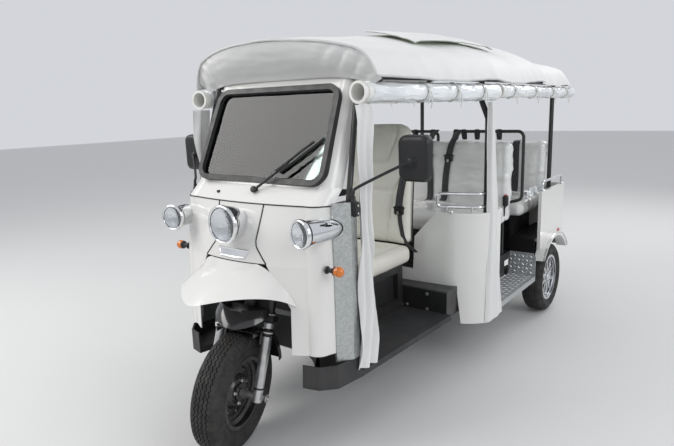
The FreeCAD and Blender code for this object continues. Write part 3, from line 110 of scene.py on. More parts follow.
def join_parts(parts):
    """One part from several."""
    verts, faces = [], []
    for part_verts, part_faces in parts:
        start = len(verts)
        verts += list(part_verts)
        faces += [tuple(i + start for i in face) for face in part_faces]
    return verts, faces


def frame_on(direction, up=Z_AXIS):
    """Two unit vectors square to a direction."""
    direction = direction.normalized()
    side = direction.cross(up)
    if side.length < 1e-4:
        side = direction.cross(Y_AXIS)
    side.normalize()
    return side, side.cross(direction).normalized()


def round_steps(count, ends=0):
    """Even angles round a circle, with the first one repeated at the end if asked."""
    return [2 * math.pi * k / count for k in range(count + ends)]


def spoke(side, rise, angle):
    """Unit vector at an angle between two others."""
    return side * math.cos(angle) + rise * math.sin(angle)


def smooth_path(points, steps=6):
    """Points of a Catmull-Rom line through the given ones."""
    count = len(points)
    line = []
    for i in range(count - 1):
        p1, p2 = points[i], points[i + 1]
        p0 = points[i - 1] if i > 0 else p1 * 2 - p2
        p3 = points[i + 2] if i + 2 < count else p2 * 2 - p1
        for k in range(steps):
            t = k / steps
            line.append(0.5 * ((2 * p1) + (p2 - p0) * t + (2 * p0 - 5 * p1 + 4 * p2 - p3) * t ** 2
                               + (3 * p1 - p0 - 3 * p2 + p3) * t ** 3))
    return line + [points[-1]]


def sweep(line, section, closed=False, up=Z_AXIS):
    """Part of a section, given as (side, up) offsets, carried along a line."""
    rings = []
    count = len(line)
    side = None
    for i, point in enumerate(line):
        ahead = line[(i + 1) % count] if closed or i + 1 < count else line[i]
        behind = line[i - 1] if closed or i > 0 else line[i]
        direction = (ahead - behind).normalized()
        if side is None:
            side, rise = frame_on(direction, up)
        else:
            side = (side - direction * side.dot(direction)).normalized()
            rise = side.cross(direction).normalized()
        rings.append([point + side * a + rise * b for a, b in section])
    if closed:
        return [p for ring in rings for p in ring], grid_faces(count, len(section), True, True)
    return loft(rings)


def circle(radius, sides=12):
    """Round section."""
    return [(radius * math.cos(angle), radius * math.sin(angle)) for angle in round_steps(sides)]


def round_line(half, radius, corner=10):
    """Closed line round a rounded rectangle about the origin, as points in its plane."""
    line = []
    for cx, cy, start in ((1, 1, 0), (-1, 1, 90), (-1, -1, 180), (1, -1, 270)):
        for k in range(corner + 1):
            angle = math.radians(start + 90 * k / corner)
            line.append((cx * (half[0] - radius) + radius * math.cos(angle),
                         cy * (half[1] - radius) + radius * math.sin(angle)))
    return line


def band(width, thickness):
    """Flat section with slightly rounded edges."""
    w, t = width / 2, thickness / 2
    return [(-w, -t * 0.5), (-w + t, -t), (w - t, -t), (w, -t * 0.5), (w, t * 0.5), (w - t, t),
            (-w + t, t), (-w, t * 0.5)]


def turned(profile, centre, axis, sides=48, closed=False):
    """Part made by turning (along, radius) pairs about an axis."""
    side, rise = frame_on(axis)
    axis = axis.normalized()
    verts = [centre + axis * along + spoke(side, rise, angle) * radius
             for along, radius in profile for angle in round_steps(sides)]
    faces = grid_faces(len(profile), sides, closed, True)
    for row in () if closed else (0, len(profile) - 1):
        if profile[row][1] > 1e-5:
            faces.append(tuple(range(row * sides, (row + 1) * sides)))
    return verts, faces


def rounded_box(low, high, radius, segments=3):
    """Part of a box with rounded edges."""
    low, high = Vector(low), Vector(high)
    shape = bmesh.new()
    bmesh.ops.create_cube(shape, size=1.0)
    size = high - low
    for vert in shape.verts:
        vert.co = Vector((vert.co[i] * size[i] for i in range(3))) + (low + high) / 2
    bmesh.ops.bevel(shape, geom=list(shape.edges), offset=radius, segments=segments, affect="EDGES")
    shape.verts.ensure_lookup_table()
    part = [v.co.copy() for v in shape.verts], [tuple(v.index for v in f.verts) for f in shape.faces]
    shape.free()
    return part


def with_mirror(part):
    """A part with its mirror image on the other side of the vehicle."""
    verts, faces = part
    image = [Vector((-v.x, v.y, v.z)) for v in verts], [tuple(reversed(face)) for face in faces]
    return join_parts([part, image])


def ripple(point, scale, seed=0.0):
    """Smooth noise between -1 and 1 at a point."""
    return noise.noise(Vector((point[0] * scale + seed, point[1] * scale, point[2] * scale)))


# Pieces
def add_shape(name, shape, look, sharp, body="chassis", slot=None):
    """New piece from a bmesh, smooth except across sharp edges, in a look and riding on a body."""
    mesh = bpy.data.meshes.new(name)
    shape.to_mesh(mesh)
    shape.free()
    mesh.shade_smooth()
    mesh.set_sharp_from_angle(angle=math.radians(sharp))
    mesh.materials.append(FINISHES[look])
    obj = bpy.data.objects.new(name, mesh)
    bpy.context.scene.collection.objects.link(obj)
    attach(obj, body)
    slot or LOOKS[look][0]
    return obj


def add_piece(name, parts, look, sharp=40.0, body="chassis", slot=None, both=False):
    """New piece from parts, with their mirror images if it stands on both sides."""
    verts, faces = join_parts(parts)
    if both:
        verts, faces = with_mirror((verts, faces))
    draft = bpy.data.meshes.new("draft")
    draft.from_pydata([tuple(v) for v in verts], [], faces)
    draft.validate()
    shape = bmesh.new()
    shape.from_mesh(draft)
    bpy.data.meshes.remove(draft)
    bmesh.ops.recalc_face_normals(shape, faces=shape.faces)
    return add_shape(name, shape, look, sharp, body, slot)


# Finishes
EVEN = (1, 1, 1)
ALONG_X = (0, 1, 1)
PLATE_TOP = 0.4995
SHEET_BLACK = (0.014, 0.014, 0.015)

# Slot of the pieces with a look (none where only CAD pieces have it), its name, two colours or
# (setting, share) pairs, mottle per metre, roughness from and to, bumps as (kind, scale per metre,
# depth in mm, stretch), and further values
LOOKS = {
    "paint": (None, "white_gloss_paint", ("paint", 1.0), ("paint", 0.965), 3.0, (0.16, 0.24),
              [("noise", 240, 0.03), ("noise", 9, 0.25)], {"coat": 0.55}),
    "black": (None, "black_frame_paint", (0.014, 0.0145, 0.016), (0.024, 0.0235, 0.022), 14.0,
              (0.30, 0.46), [("noise", 420, 0.05)], {"coat": 0.15}),
    "steel": (None, "dark_axle_steel", (0.035, 0.034, 0.033), (0.075, 0.068, 0.06), 22.0,
              (0.5, 0.7), [("noise", 260, 0.25)], {"metallic": 0.4}),
    "zinc": (None, "galvanised_sheet", (0.50, 0.515, 0.51), (0.41, 0.43, 0.425), 130.0,
             (0.3, 0.48), [("patches", 130, 0.04), ("noise", 8, 0.5)], {"metallic": 0.85, "cells": True}),
    "checker": (None, "rolled_aluminium", (0.50, 0.51, 0.52), (0.40, 0.41, 0.42), 40.0,
                (0.34, 0.5), [("noise", 320, 0.06, (1, 0.1, 1))], {"metallic": 0.55}),
    # The lozenges are the same plate metal as the checker look, coloured far lighter as painted highlight
    # where the raised diamonds catch the light
    "tread": ("checker_plate", "bright_tread_lozenges", (0.90, 0.91, 0.92), (0.80, 0.81, 0.82), 60.0,
              (0.22, 0.36), [("noise", 420, 0.04)], {"metallic": 0.5}),
    "mat": (None, "ribbed_rubber_mat", (0.022, 0.023, 0.026), (0.036, 0.035, 0.034), 7.0,
            (0.5, 0.68), [("ribs", 32, 0.7), ("noise", 300, 0.12)], {}),
    "tyre": ("tyre_rubber", "tyre_rubber", (0.013, 0.0135, 0.0145), (0.032, 0.029, 0.026), 26.0,
             (0.66, 0.86), [("noise", 500, 0.18), ("cells", 240, 0.08)], {}),
    "black_rim": ("black_rim", "black_wheel_enamel", (0.011, 0.011, 0.0125), (0.03, 0.027, 0.024), 20.0,
                  (0.22, 0.4), [("noise", 300, 0.05)], {"coat": 0.4}),
    "alloy": ("alloy_rim", "machined_alloy", (0.70, 0.71, 0.73), (0.55, 0.56, 0.58), 18.0,
              (0.18, 0.3), [("noise", 420, 0.03)], {"metallic": 0.95, "coat": 0.3}),
    "fork": ("fork_alloy", "brushed_fork_alloy", (0.62, 0.62, 0.61), (0.48, 0.48, 0.475), 30.0,
             (0.28, 0.42), [("noise", 300, 0.05, (1, 1, 0.08))], {"metallic": 0.9}),
    "chrome": ("chrome_trim", "chrome_plate", (0.86, 0.87, 0.88), (0.74, 0.75, 0.77), 11.0,
               (0.03, 0.09), [("noise", 60, 0.03)], {"metallic": 1.0}),
    "reflector": ("chrome_trim", "lamp_reflector", (0.90, 0.90, 0.91), (0.78, 0.78, 0.8), 60.0,
                  (0.04, 0.12), [("cells", 90, 0.5)], {"metallic": 1.0}),
    "rubber": ("black_rubber", "black_rubber", (0.012, 0.012, 0.0135), (0.022, 0.021, 0.02), 30.0,
               (0.38, 0.55), [("noise", 350, 0.08)], {}),
    "plastic": ("black_plastic", "grained_black_plastic", (0.006, 0.0062, 0.007), (0.010, 0.010, 0.011),
                18.0, (0.34, 0.46), [("cells", 520, 0.12)], {}),
    "guard": (None, "glossy_black_guard", (0.009, 0.009, 0.011), (0.016, 0.015, 0.015), 12.0,
              (0.10, 0.22), [("noise", 14, 0.35)], {"coat": 0.7}),
    "amber": ("amber_plastic", "amber_lens", (0.93, 0.27, 0.015), (0.80, 0.20, 0.01), 35.0,
              (0.08, 0.18), [("ribs", 90, 0.35, (0.2, 0.2, 1))], {"transmission": 0.35, "coat": 0.6}),
    "red": ("red_plastic", "red_lens", (0.62, 0.012, 0.012), (0.45, 0.008, 0.008), 35.0,
            (0.08, 0.18), [("ribs", 60, 0.35)], {"transmission": 0.25, "coat": 0.6}),
    "leather": ("seat_leather", "cream_seat_leather", ("leather", 1.0), ("leather", 0.93), 5.0,
                (0.36, 0.5), [("cells", 420, 0.22), ("noise", 22, 1.2)], {"coat": 0.08}),
    "bench": ("bench_fabric", "film_wrapped_bench_cloth", ("benches", 1.0), ("benches", 0.90), 7.0,
              (0.30, 0.46), [("noise", 16, 5.0, (1, 1, 0.45)), ("noise", 60, 0.9, (1, 0.5, 1)),
                             ("cells", 700, 0.05)], {"coat": 1.0, "coat_rough": 0.07, "soft_bump": True}),
    "canvas": ("roof_canvas", "coated_roof_canvas", ("canvas", 1.0), ("canvas", 0.94), 3.5, (0.5, 0.64),
               [("noise", 7, 3.0), ("noise", 34, 0.5), ("ribs", 420, 0.05), ("ribs", 420, 0.05, ALONG_X)],
               {"sheen": 0.12}),
    "film": ("clear_film", "rolled_clear_film", (0.72, 0.75, 0.77), (0.88, 0.90, 0.91), 9.0,
             (0.08, 0.2), [("noise", 26, 4.0, (1, 0.28, 1)), ("noise", 90, 0.6)],
             {"coat": 1.0, "coat_rough": 0.05, "soft_bump": True}),
    "pipe": ("white_pipe", "white_pipe_plastic", (0.80, 0.80, 0.77), (0.72, 0.72, 0.69), 10.0,
             (0.3, 0.44), [("noise", 180, 0.06)], {}),
    "webbing": ("black_rubber", "black_seat_belt_webbing", (0.016, 0.0165, 0.019), (0.028, 0.028, 0.03),
                60.0, (0.5, 0.66), [("ribs", 520, 0.18), ("ribs", 520, 0.12, ALONG_X)], {"sheen": 0.2}),
    "cord": ("roof_canvas", "white_tie_cord", (0.82, 0.82, 0.79), (0.70, 0.70, 0.67), 60.0,
             (0.6, 0.8), [("ribs", 300, 0.3, (1, 1, 0.4))], {}),
    "bolt": ("chrome_trim", "zinc_plated_bolts", (0.62, 0.61, 0.58), (0.45, 0.44, 0.42), 60.0,
             (0.25, 0.4), [("noise", 400, 0.05)], {"metallic": 0.95}),
    "mirror": ("chrome_trim", "mirror_glass", (0.82, 0.83, 0.84), (0.80, 0.81, 0.82), 4.0,
               (0.01, 0.02), [("noise", 3, 0.02)], {"metallic": 1.0}),
    "plate": ("white_paint", "blank_number_plate", (0.80, 0.80, 0.77), (0.74, 0.74, 0.70), 14.0,
              (0.3, 0.42), [("noise", 160, 0.05)], {}),
    "piping": ("roof_canvas", "grey_canvas_piping", ("canvas", 0.86), ("canvas", 0.76), 30.0,
               (0.5, 0.62), [("ribs", 420, 0.06), ("noise", 60, 0.4)], {}),
    "flap": ("roof_canvas", "pale_green_flap_lining", (0.70, 0.77, 0.62), (0.62, 0.70, 0.55), 5.0,
             (0.5, 0.62), [("noise", 9, 2.0), ("ribs", 420, 0.05)], {}),
    "lens": ("lamp_glass", "clear_lamp_glass", (0.93, 0.95, 0.96), (0.90, 0.92, 0.94), 20.0,
             (0.01, 0.04), [("noise", 40, 0.05)], {"transmission": 0.95}),
}
GRAINS = {"cells": ("Voronoi", "Distance", {}), "patches": ("Voronoi", "Color", {}),
          "ribs": ("Wave", "Fac", {"bands_direction": "X", "Distortion": 0.15}),
          "noise": ("Noise", "Fac", {"Detail": 4.0}), "mottle": ("Noise", "Fac", {"Detail": 5.0})}


def new_material(name):
    """New material with its nodes in use."""
    material = bpy.data.materials.new(name)
    material.use_nodes = True
    return material


def node_of(material, kind, **values):
    """New shader node with some of its inputs or settings set."""
    node = material.node_tree.nodes.new("ShaderNode" + kind)
    for key, value in values.items():
        if hasattr(node, key):
            setattr(node, key, value)
        else:
            node.inputs[key.replace("_", " ")].default_value = value
    return node


def place_of(material, stretch=EVEN):
    """Piece coordinates in metres, stretched."""
    source = node_of(material, "TexCoord")
    mapping = node_of(material, "Mapping", Scale=stretch)
    material.node_tree.links.new(source.outputs["Object"], mapping.inputs["Vector"])
    return mapping.outputs["Vector"]


def grain(material, kind, scale, stretch=EVEN):
    """Output of a pattern at a scale per metre."""
    texture, output, values = GRAINS[kind]
    node = node_of(material, "Tex" + texture, Scale=scale, **values)
    material.node_tree.links.new(place_of(material, stretch), node.inputs["Vector"])
    return node.outputs[output]


def finish(name, colour, second, mottle, rough, bumps, metallic=0.0, coat=0.0, transmission=0.0, sheen=0.0,
           coat_rough=0.06, cells=False, soft_bump=False):
    """Procedural finish: two mixed colours, varied roughness and layers of bump."""
    material = new_material(name)
    link = material.node_tree.links.new
    shader = material.node_tree.nodes["Principled BSDF"].inputs
    for key, value in (("Base Color", (*colour, 1.0)), ("Metallic", metallic), ("Coat Weight", coat),
                       ("Coat Roughness", coat_rough), ("Transmission Weight", transmission),
                       ("Sheen Weight", sheen)):
        shader[key].default_value = value
    pattern = grain(material, "patches" if cells else "mottle", mottle)
    ramp = node_of(material, "ValToRGB")
    for element, position, tone in zip(ramp.color_ramp.elements, (0.32, 0.68), (second, colour)):
        element.position = position
        element.color = (*tone, 1.0)
    link(pattern, ramp.inputs["Fac"])
    link(ramp.outputs["Color"], shader["Base Color"])
    spread = node_of(material, "MapRange", From_Min=0.3, From_Max=0.7, To_Min=rough[0], To_Max=rough[1])
    link(pattern, spread.inputs["Value"])
    link(spread.outputs["Result"], shader["Roughness"])
    normal = None
    for kind, scale, depth, *stretch in bumps:
        bump = node_of(material, "Bump", Strength=1.0, Distance=depth / 1000)
        link(grain(material, kind, scale, *stretch), bump.inputs["Height"])
        if normal is not None:
            link(normal, bump.inputs["Normal"])
        normal = bump.outputs["Normal"]
    link(normal, shader["Normal"])
    if soft_bump:
        link(normal, shader["Coat Normal"])
    return material


def blacken_above(material, height):
    """Paints a finish black above a height, where the plate gives way to painted sheet."""
    link = material.node_tree.links.new
    base = material.node_tree.nodes["Principled BSDF"].inputs["Base Color"]
    split = node_of(material, "SeparateXYZ")
    link(place_of(material), split.inputs["Vector"])
    above = node_of(material, "Math", operation="GREATER_THAN")
    link(split.outputs["Z"], above.inputs[0])
    above.inputs[1].default_value = height
    mix = node_of(material, "Mix", data_type="RGBA")
    link(above.outputs["Value"], mix.inputs["Factor"])
    link(base.links[0].from_socket, mix.inputs["A"])
    mix.inputs["B"].default_value = (*SHEET_BLACK, 1.0)
    link(mix.outputs["Result"], base)


def clear_glass(name, tint, gloss=0.02):
    """Thin window glass: tinted see-through with a fresnel gloss."""
    material = new_material(name)
    tree = material.node_tree
    tree.nodes.remove(tree.nodes["Principled BSDF"])
    through = node_of(material, "BsdfTransparent", Color=(*tint, 1.0))
    shine = node_of(material, "BsdfGlossy", Roughness=gloss)
    fresnel = node_of(material, "Fresnel", IOR=1.5)
    mix = node_of(material, "MixShader")
    tree.links.new(fresnel.outputs["Fac"], mix.inputs["Fac"])
    tree.links.new(through.outputs["BSDF"], mix.inputs[1])
    tree.links.new(shine.outputs["BSDF"], mix.inputs[2])
    tree.links.new(mix.outputs["Shader"], tree.nodes["Material Output"].inputs["Surface"])
    return material


# Finishes of the rigid CAD pieces that stay in view
NODE_FINISH = {
    "paint": ("nose_fender", "front_panel", "front_side_panels", "windscreen_surround",
              "bulkhead_panels", "rear_side_panels", "tail_panel"),
    "black": ("chassis_frame", "battery_box", "bench_bases", "driver_seat_base", "bench_hoops",
              "roof_frame", "fork_frame"),
    "steel": ("rear_axle", "rear_springs"),
    "zinc": ("front_frame_posts",),
    "checker": ("steps_and_houses",),
    "mat": ("floor_pan",),
    "tyre": ("front_tyre", "rear_tyre_left", "rear_tyre_right"),
    "black_rim": ("front_rim",),
    "alloy": ("rear_rim_left", "rear_rim_right"),
    "fork": ("fork_sliders",),
    "chrome": ("headlamp_shells", "grab_rails"),
    "lens": ("headlamp_lenses",),
    "window": ("windscreen_glass",),
    "rubber": ("windscreen_seal",),
    "plastic": ("dashboard", "mirrors", "wiper"),
    "guard": ("front_mudguard",),
    "amber": ("turn_signals",),
    "red": ("tail_lamps",),
    "leather": ("driver_seat_pads",),
    "bench": ("bench_cushions", "bench_backs"),
    "canvas": ("roof_canvas", "visor_canvas", "canvas_strips"),
    "film": ("curtain_rolls",),
    "pipe": ("curtain_pipes",),
}


def dress_frame():
    """Makes every finish and gives the CAD pieces theirs."""
    colours = bpy.context.scene.rickshaw_colours

    def tone(colour):
        if not isinstance(colour[0], str):
            return colour
        return tuple(min(1.0, value * colour[1]) for value in getattr(colours, colour[0]))

    for key, (_, name, colour, second, mottle, rough, bumps, values) in LOOKS.items():
        FINISHES[key] = finish(name, tone(colour), tone(second), mottle, rough, bumps, **values)
    blacken_above(FINISHES["checker"], DATUM.z + PLATE_TOP)
    FINISHES["window"] = clear_glass("windscreen_glass", (0.80, 0.90, 0.88))
    for key, names in NODE_FINISH.items():
        for name in names:
            slots = NODES[name].data.materials
            slots.clear()
            slots.append(FINISHES[key])


# Settings that a user would change
def colour_setting(name, description, default):
    """Colour property."""
    return FloatVectorProperty(name=name, description=description, subtype="COLOR", size=3,
                               min=0.0, max=1.0, default=default)


def length_setting(name, description, default):
    """Length property in metres."""
    return FloatProperty(name=name, description=description, unit="LENGTH", subtype="DISTANCE",
                         precision=4, default=default)


def angle_setting(name, description, degrees):
    """Angle property."""
    return FloatProperty(name=name, description=description, unit="ROTATION", subtype="ANGLE",
                         default=math.radians(degrees))


class RickshawColours(bpy.types.PropertyGroup):
    """Colours of the painted and soft parts."""
    paint: colour_setting("Paint", "Body panels", (0.74, 0.73, 0.705))
    canvas: colour_setting("Canvas", "Roof, visor and strips", (0.71, 0.71, 0.70))
    leather: colour_setting("Leather", "Driver's seat", (0.74, 0.72, 0.645))
    benches: colour_setting("Bench cloth", "Passenger benches", (0.74, 0.745, 0.73))
    floor: colour_setting("Floor", "Pale studio floor", (0.66, 0.66, 0.65))


class RickshawSizes(bpy.types.PropertyGroup):
    """Sizes of the trim that is added to the frame."""
    seam: length_setting("Panel welt", "Radius of the black welt in the panel seams", 0.0032)
    belt: length_setting("Belt width", "Width of the seat-belt webbing", 0.048)
    hem: length_setting("Canvas hem", "Radius of the piped canvas edges", 0.006)
    sag: length_setting("Roof sag", "Sag of the canvas between the roof bows", 0.014)
    bolt: length_setting("Bolt head", "Radius of the bolt heads on the battery box", 0.008)
    diamond: length_setting("Tread diamond", "Length of a raised diamond on the step", 0.027)


class RickshawView(bpy.types.PropertyGroup):
    """Camera and light of the studio."""
    station: FloatVectorProperty(name="Camera", description="Camera place from the nose datum",
                                 subtype="TRANSLATION", size=3, default=(1.8918, -1.6559, 1.5453))
    yaw: angle_setting("Yaw", "Turn of the view to the left of straight back", 36.88)
    pitch: angle_setting("Pitch", "Downward tilt of the view", 11.2015)
    roll: angle_setting("Roll", "Roll of the view", -1.732)
    focal: FloatProperty(name="Focal length", description="Lens for a sensor 36 mm wide",
                         unit="CAMERA", default=30.702)
    key_light: FloatProperty(name="Key light", description="Power of the large soft light", default=205.0,
                             min=0.0)
    sky: FloatProperty(name="Sky", description="Strength of the even light", default=0.70, min=0.0)


# Stage: each light has its place, target, size, share of the key light and colour
SENSOR_WIDTH = 36.0
FLOOR_REACH = 30.0
STUDIO_LIGHTS = {
    "key_light": ((-3.4, -3.9, 4.6), (0, -0.3, 0.7), (4.5, 3.2), 1.0, (1.0, 0.985, 0.955)),
    "side_light": ((5.4, -1.2, 3.6), (0, 0, 0.9), (4.0, 3.0), 0.55, (0.96, 0.98, 1.0)),
    "back_light": ((1.6, 5.6, 4.4), (0, 0.4, 1.0), (4.0, 2.6), 0.5, (1.0, 0.99, 0.97)),
}


def camera_place(view):
    """Camera matrix from its place, yaw, pitch and roll."""
    ahead = Vector((-math.sin(view.yaw) * math.cos(view.pitch),
                    math.cos(view.yaw) * math.cos(view.pitch), -math.sin(view.pitch)))
    level = Vector((math.cos(view.yaw), math.sin(view.yaw), 0.0))
    upright = level.cross(ahead)
    right = spoke(level, upright, view.roll)
    top = upright * math.cos(view.roll) - level * math.sin(view.roll)
    turn = Matrix((right, top, -ahead)).transposed().to_4x4()
    return Matrix.Translation(at(*view.station)) @ turn


def set_stage():
    """Camera, pale floor, soft lights and an even sky."""
    scene = bpy.context.scene
    view = scene.rickshaw_view
    camera = bpy.data.objects.new("camera", bpy.data.cameras.new("camera"))
    camera.data.lens = view.focal
    camera.data.sensor_width = SENSOR_WIDTH
    camera.matrix_world = camera_place(view)
    scene.collection.objects.link(camera)
    scene.camera = camera

    floor = new_material("studio_floor")
    shader = floor.node_tree.nodes["Principled BSDF"]
    shader.inputs["Base Color"].default_value = (*scene.rickshaw_colours.floor, 1.0)
    shader.inputs["Roughness"].default_value = 0.7
    mesh = bpy.data.meshes.new("floor")
    corners = [(x * FLOOR_REACH, y * FLOOR_REACH, 0) for x, y in ((-1, -1), (1, -1), (1, 1), (-1, 1))]
    mesh.from_pydata(corners, [], [(0, 1, 2, 3)])
    mesh.materials.append(floor)
    ground = bpy.data.objects.new("floor", mesh)
    ground.location.z = -0.0006
    scene.collection.objects.link(ground)

    for name, (place, target, size, share, colour) in STUDIO_LIGHTS.items():
        lamp = bpy.data.lights.new(name, "AREA")
        lamp.shape = "RECTANGLE"
        lamp.size, lamp.size_y = size
        lamp.energy = view.key_light * share
        lamp.color = colour
        light = bpy.data.objects.new(name, lamp)
        light.location = place
        light.rotation_euler = (Vector(target) - Vector(place)).to_track_quat("-Z", "Y").to_euler()
        scene.collection.objects.link(light)
    world = bpy.data.worlds.new("studio_sky")
    world.use_nodes = True
    sky = world.node_tree.nodes["Background"]
    sky.inputs["Color"].default_value = (0.93, 0.95, 1.0, 1.0)
    sky.inputs["Strength"].default_value = view.sky
    scene.world = world
    scene.view_settings.view_transform = "Standard"


def trim_sizes():
    """Sizes of the trim, as set by the user."""
    return bpy.context.scene.rickshaw_sizes


# Wheels: tyres as (radius, width)
FRONT_TYRE = (0.280, 0.140)
REAR_TYRE = (REAR_TYRE_R, 0.150)
BEAD_SEAT = 0.156
FLANGE = 0.168
BEAD_INSET = 0.022
CROWN_DROP = 0.007
GROOVES = 4
GROOVE = 0.0055
GROOVE_CUT = ((0.5, 0.0004), (0.32, 0.0060), (-0.32, 0.0060), (-0.5, 0.0004))
ZIGZAG = 0.0030
SHOULDER_SLOT = 0.0042
LUG_TURNS = 66


def tread_section(radius, width):
    """Closed section of a tyre as (across, radius, sway, notch) points.

    Sway is how far a point follows the zigzag of the grooves, notch how deep a shoulder slot cuts it.
    """
    half = width / 2
    edge = half - BEAD_INSET
    crown = radius - CROWN_DROP
    lip = edge + (FLANGE - BEAD_SEAT) * BEAD_INSET / ((FLANGE + radius) / 2 - BEAD_SEAT)
    wall = [(edge + 0.0005, BEAD_SEAT + 0.002, 0, 0), (lip - 0.0015, FLANGE - 0.0015, 0, 0),
            (lip + 0.0035, FLANGE + 0.0045, 0, 0), (half - 0.0055, FLANGE + 0.016, 0, 0),
            (half - 0.0015, FLANGE + 0.030, 0, 0), (half, FLANGE + 0.040, 0, 0),
            (half + 0.0010, FLANGE + 0.042, 0, 0), (half + 0.0010, FLANGE + 0.047, 0, 0),
            (half - 0.0005, FLANGE + 0.049, 0, 0), (half - 0.003, crown - 0.024, 0, 0.2),
            (half - 0.0085, crown - 0.015, 0, 1.0), (half - 0.0150, crown - 0.0065, 0, 1.0),
            (edge + 0.002, crown - 0.0012, 0, 1.0)]

    def height(x):
        return radius - CROWN_DROP * abs(x / edge) ** 1.2

    tread = []
    for number in range(GROOVES):
        x = edge - 2 * edge / (GROOVES + 1) * (number + 1)
        tread.append((x + GROOVE, height(x + GROOVE), 1, 0))
        tread += [(x + GROOVE * share, height(x) - depth, 1, 0) for share, depth in GROOVE_CUT]
        tread.append((x - GROOVE, height(x - GROOVE), 1, 0))
    return wall + tread + [(-x, r, sway, notch) for x, r, sway, notch in reversed(wall)]


def tyre_part(centre, axle, section):
    """Tyre with zigzag grooves and slotted shoulders."""
    side, rise = frame_on(axle)
    verts = []
    steps = LUG_TURNS * 4
    for step, angle in enumerate(round_steps(steps)):
        zigzag = ZIGZAG * (1 if step % 4 in (0, 1) else -1)
        for x, r, sway, notch in section:
            slot = SHOULDER_SLOT * notch if step % 4 == (0 if x > 0 else 2) else 0.0
            verts.append(centre + axle * (x + zigzag * sway) + spoke(side, rise, angle) * (r - slot))
    return verts, grid_faces(steps, len(section), True, True)


def ring_part(centre, axle, across, radius, wire, sides):
    """Round wire ring about an axle."""
    profile = [(across + a, radius + b) for a, b in circle(wire, 8)]
    return turned(profile, centre, axle, sides, closed=True)


def wheel_nuts(centre, axle, across, radius, count, size):
    """Hexagon nuts on a circle, each with its stud."""
    side, rise = frame_on(axle)
    parts = []
    for angle in round_steps(count):
        foot = centre + axle * across + spoke(side, rise, angle + 0.3) * radius
        parts.append(turned([(0, size), (0.008, size), (0.011, size * 0.8)], foot, axle, 6))
        parts.append(turned([(0, size * 0.45), (0.017, size * 0.45), (0.018, size * 0.3)], foot, axle, 10))
    return parts


def make_wheels():
    """Tyres with their tread, the valve, nuts, centre caps and the lips of the rims."""
    right_hub = Vector((-LEFT_HUB.x, LEFT_HUB.y, LEFT_HUB.z))
    for body, node, centre, axle, size in (
            ("front_wheel", "front_tyre", FRONT_HUB, FRONT_AXLE, FRONT_TYRE),
            ("rear_wheel_left", "rear_tyre_left", LEFT_HUB, X_AXIS, REAR_TYRE),
            ("rear_wheel_right", "rear_tyre_right", right_hub, X_AXIS, REAR_TYRE)):
        tyre = tyre_part(centre, axle, tread_section(*size))
        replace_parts(add_piece(node.replace("_tyre", "_road_tyre"), [tyre], "tyre", 28, body), node)
    for body, centre, out in (("rear_wheel_left", LEFT_HUB, X_AXIS),
                              ("rear_wheel_right", right_hub, -X_AXIS)):
        cap = turned([(0.040, 0.031), (0.052, 0.030), (0.056, 0.026), (0.0575, 0.0)], centre, out, 40)
        add_piece(body + "_cap", [cap], "alloy", 40, body)
        add_piece(body + "_nuts", wheel_nuts(centre, out, 0.038, 0.047, 5, 0.0095), "bolt", 30, body)
        lips = [ring_part(centre, out, *ring, 96) for ring in
                ((0.0592, 0.1682, 0.0022), (-0.0592, 0.1682, 0.0022), (0.047, 0.144, 0.004))]
        add_piece(body + "_lips", lips, "alloy", 60, body)
    nuts = wheel_nuts(FRONT_HUB, FRONT_AXLE, 0.0262, 0.052, 4, 0.011)
    add_piece("front_wheel_nuts", nuts, "bolt", 30, "front_wheel", "axle_steel")
    lips = [ring_part(FRONT_HUB, FRONT_AXLE, across, 0.1682, 0.0022, 96) for across in (0.0538, -0.0538)]
    add_piece("front_wheel_lips", lips, "black_rim", 60, "front_wheel")
    rise = frame_on(FRONT_AXLE)[1]
    valve = turned([(0, 0.005), (0.022, 0.0045), (0.024, 0.0055), (0.034, 0.0055), (0.036, 0.003)],
                   FRONT_HUB + FRONT_AXLE * 0.030 + rise * 0.137, FRONT_AXLE - rise * 0.45, 12)
    add_piece("front_wheel_valve", [valve], "rubber", 40, "front_wheel")


# Roof canvas and visor; the roof's rows are station, half-width, height of the edge and of the crest
CLOTH_T = 0.0035
ROOF_ROWS = ((0.276, 0.545, 1.692, 1.852), (1.050, 0.622, 1.692, 1.945), (1.520, 0.655, 1.692, 1.972),
             (2.350, 0.645, 1.700, 1.972), (3.090, 0.625, 1.704, 1.878))
BOW_STATIONS = (0.485, 1.500, 2.200, 2.888)
ROOF_COLUMNS = 73
SHOULDER = 0.82
SEAM_STATION = 2.375
SEAM_LAP = 0.035
ROOF_END = 3.082
ARCH_DEPTH = 0.230
ARCH_HALF = 0.720
ARCH_NOSE = 0.292
ARCH_RADIUS = (ARCH_HALF ** 2 + ARCH_DEPTH ** 2) / (2 * ARCH_DEPTH)


def between(value, rows):
    """Rest of a table's row at a value of its first column, on straight steps between its rows."""
    if value <= rows[0][0]:
        return rows[0][1:]
    for low, high in zip(rows, rows[1:]):
        if value <= high[0]:
            t = (value - low[0]) / (high[0] - low[0])
            return tuple(a + (b - a) * t for a, b in zip(low[1:], high[1:]))
    return rows[-1][1:]


def arch_front(x):
    """Station of the roof's front edge at a place across the vehicle."""
    return ARCH_NOSE + ARCH_RADIUS - math.sqrt(max(ARCH_RADIUS ** 2 - x * x, 0.0))


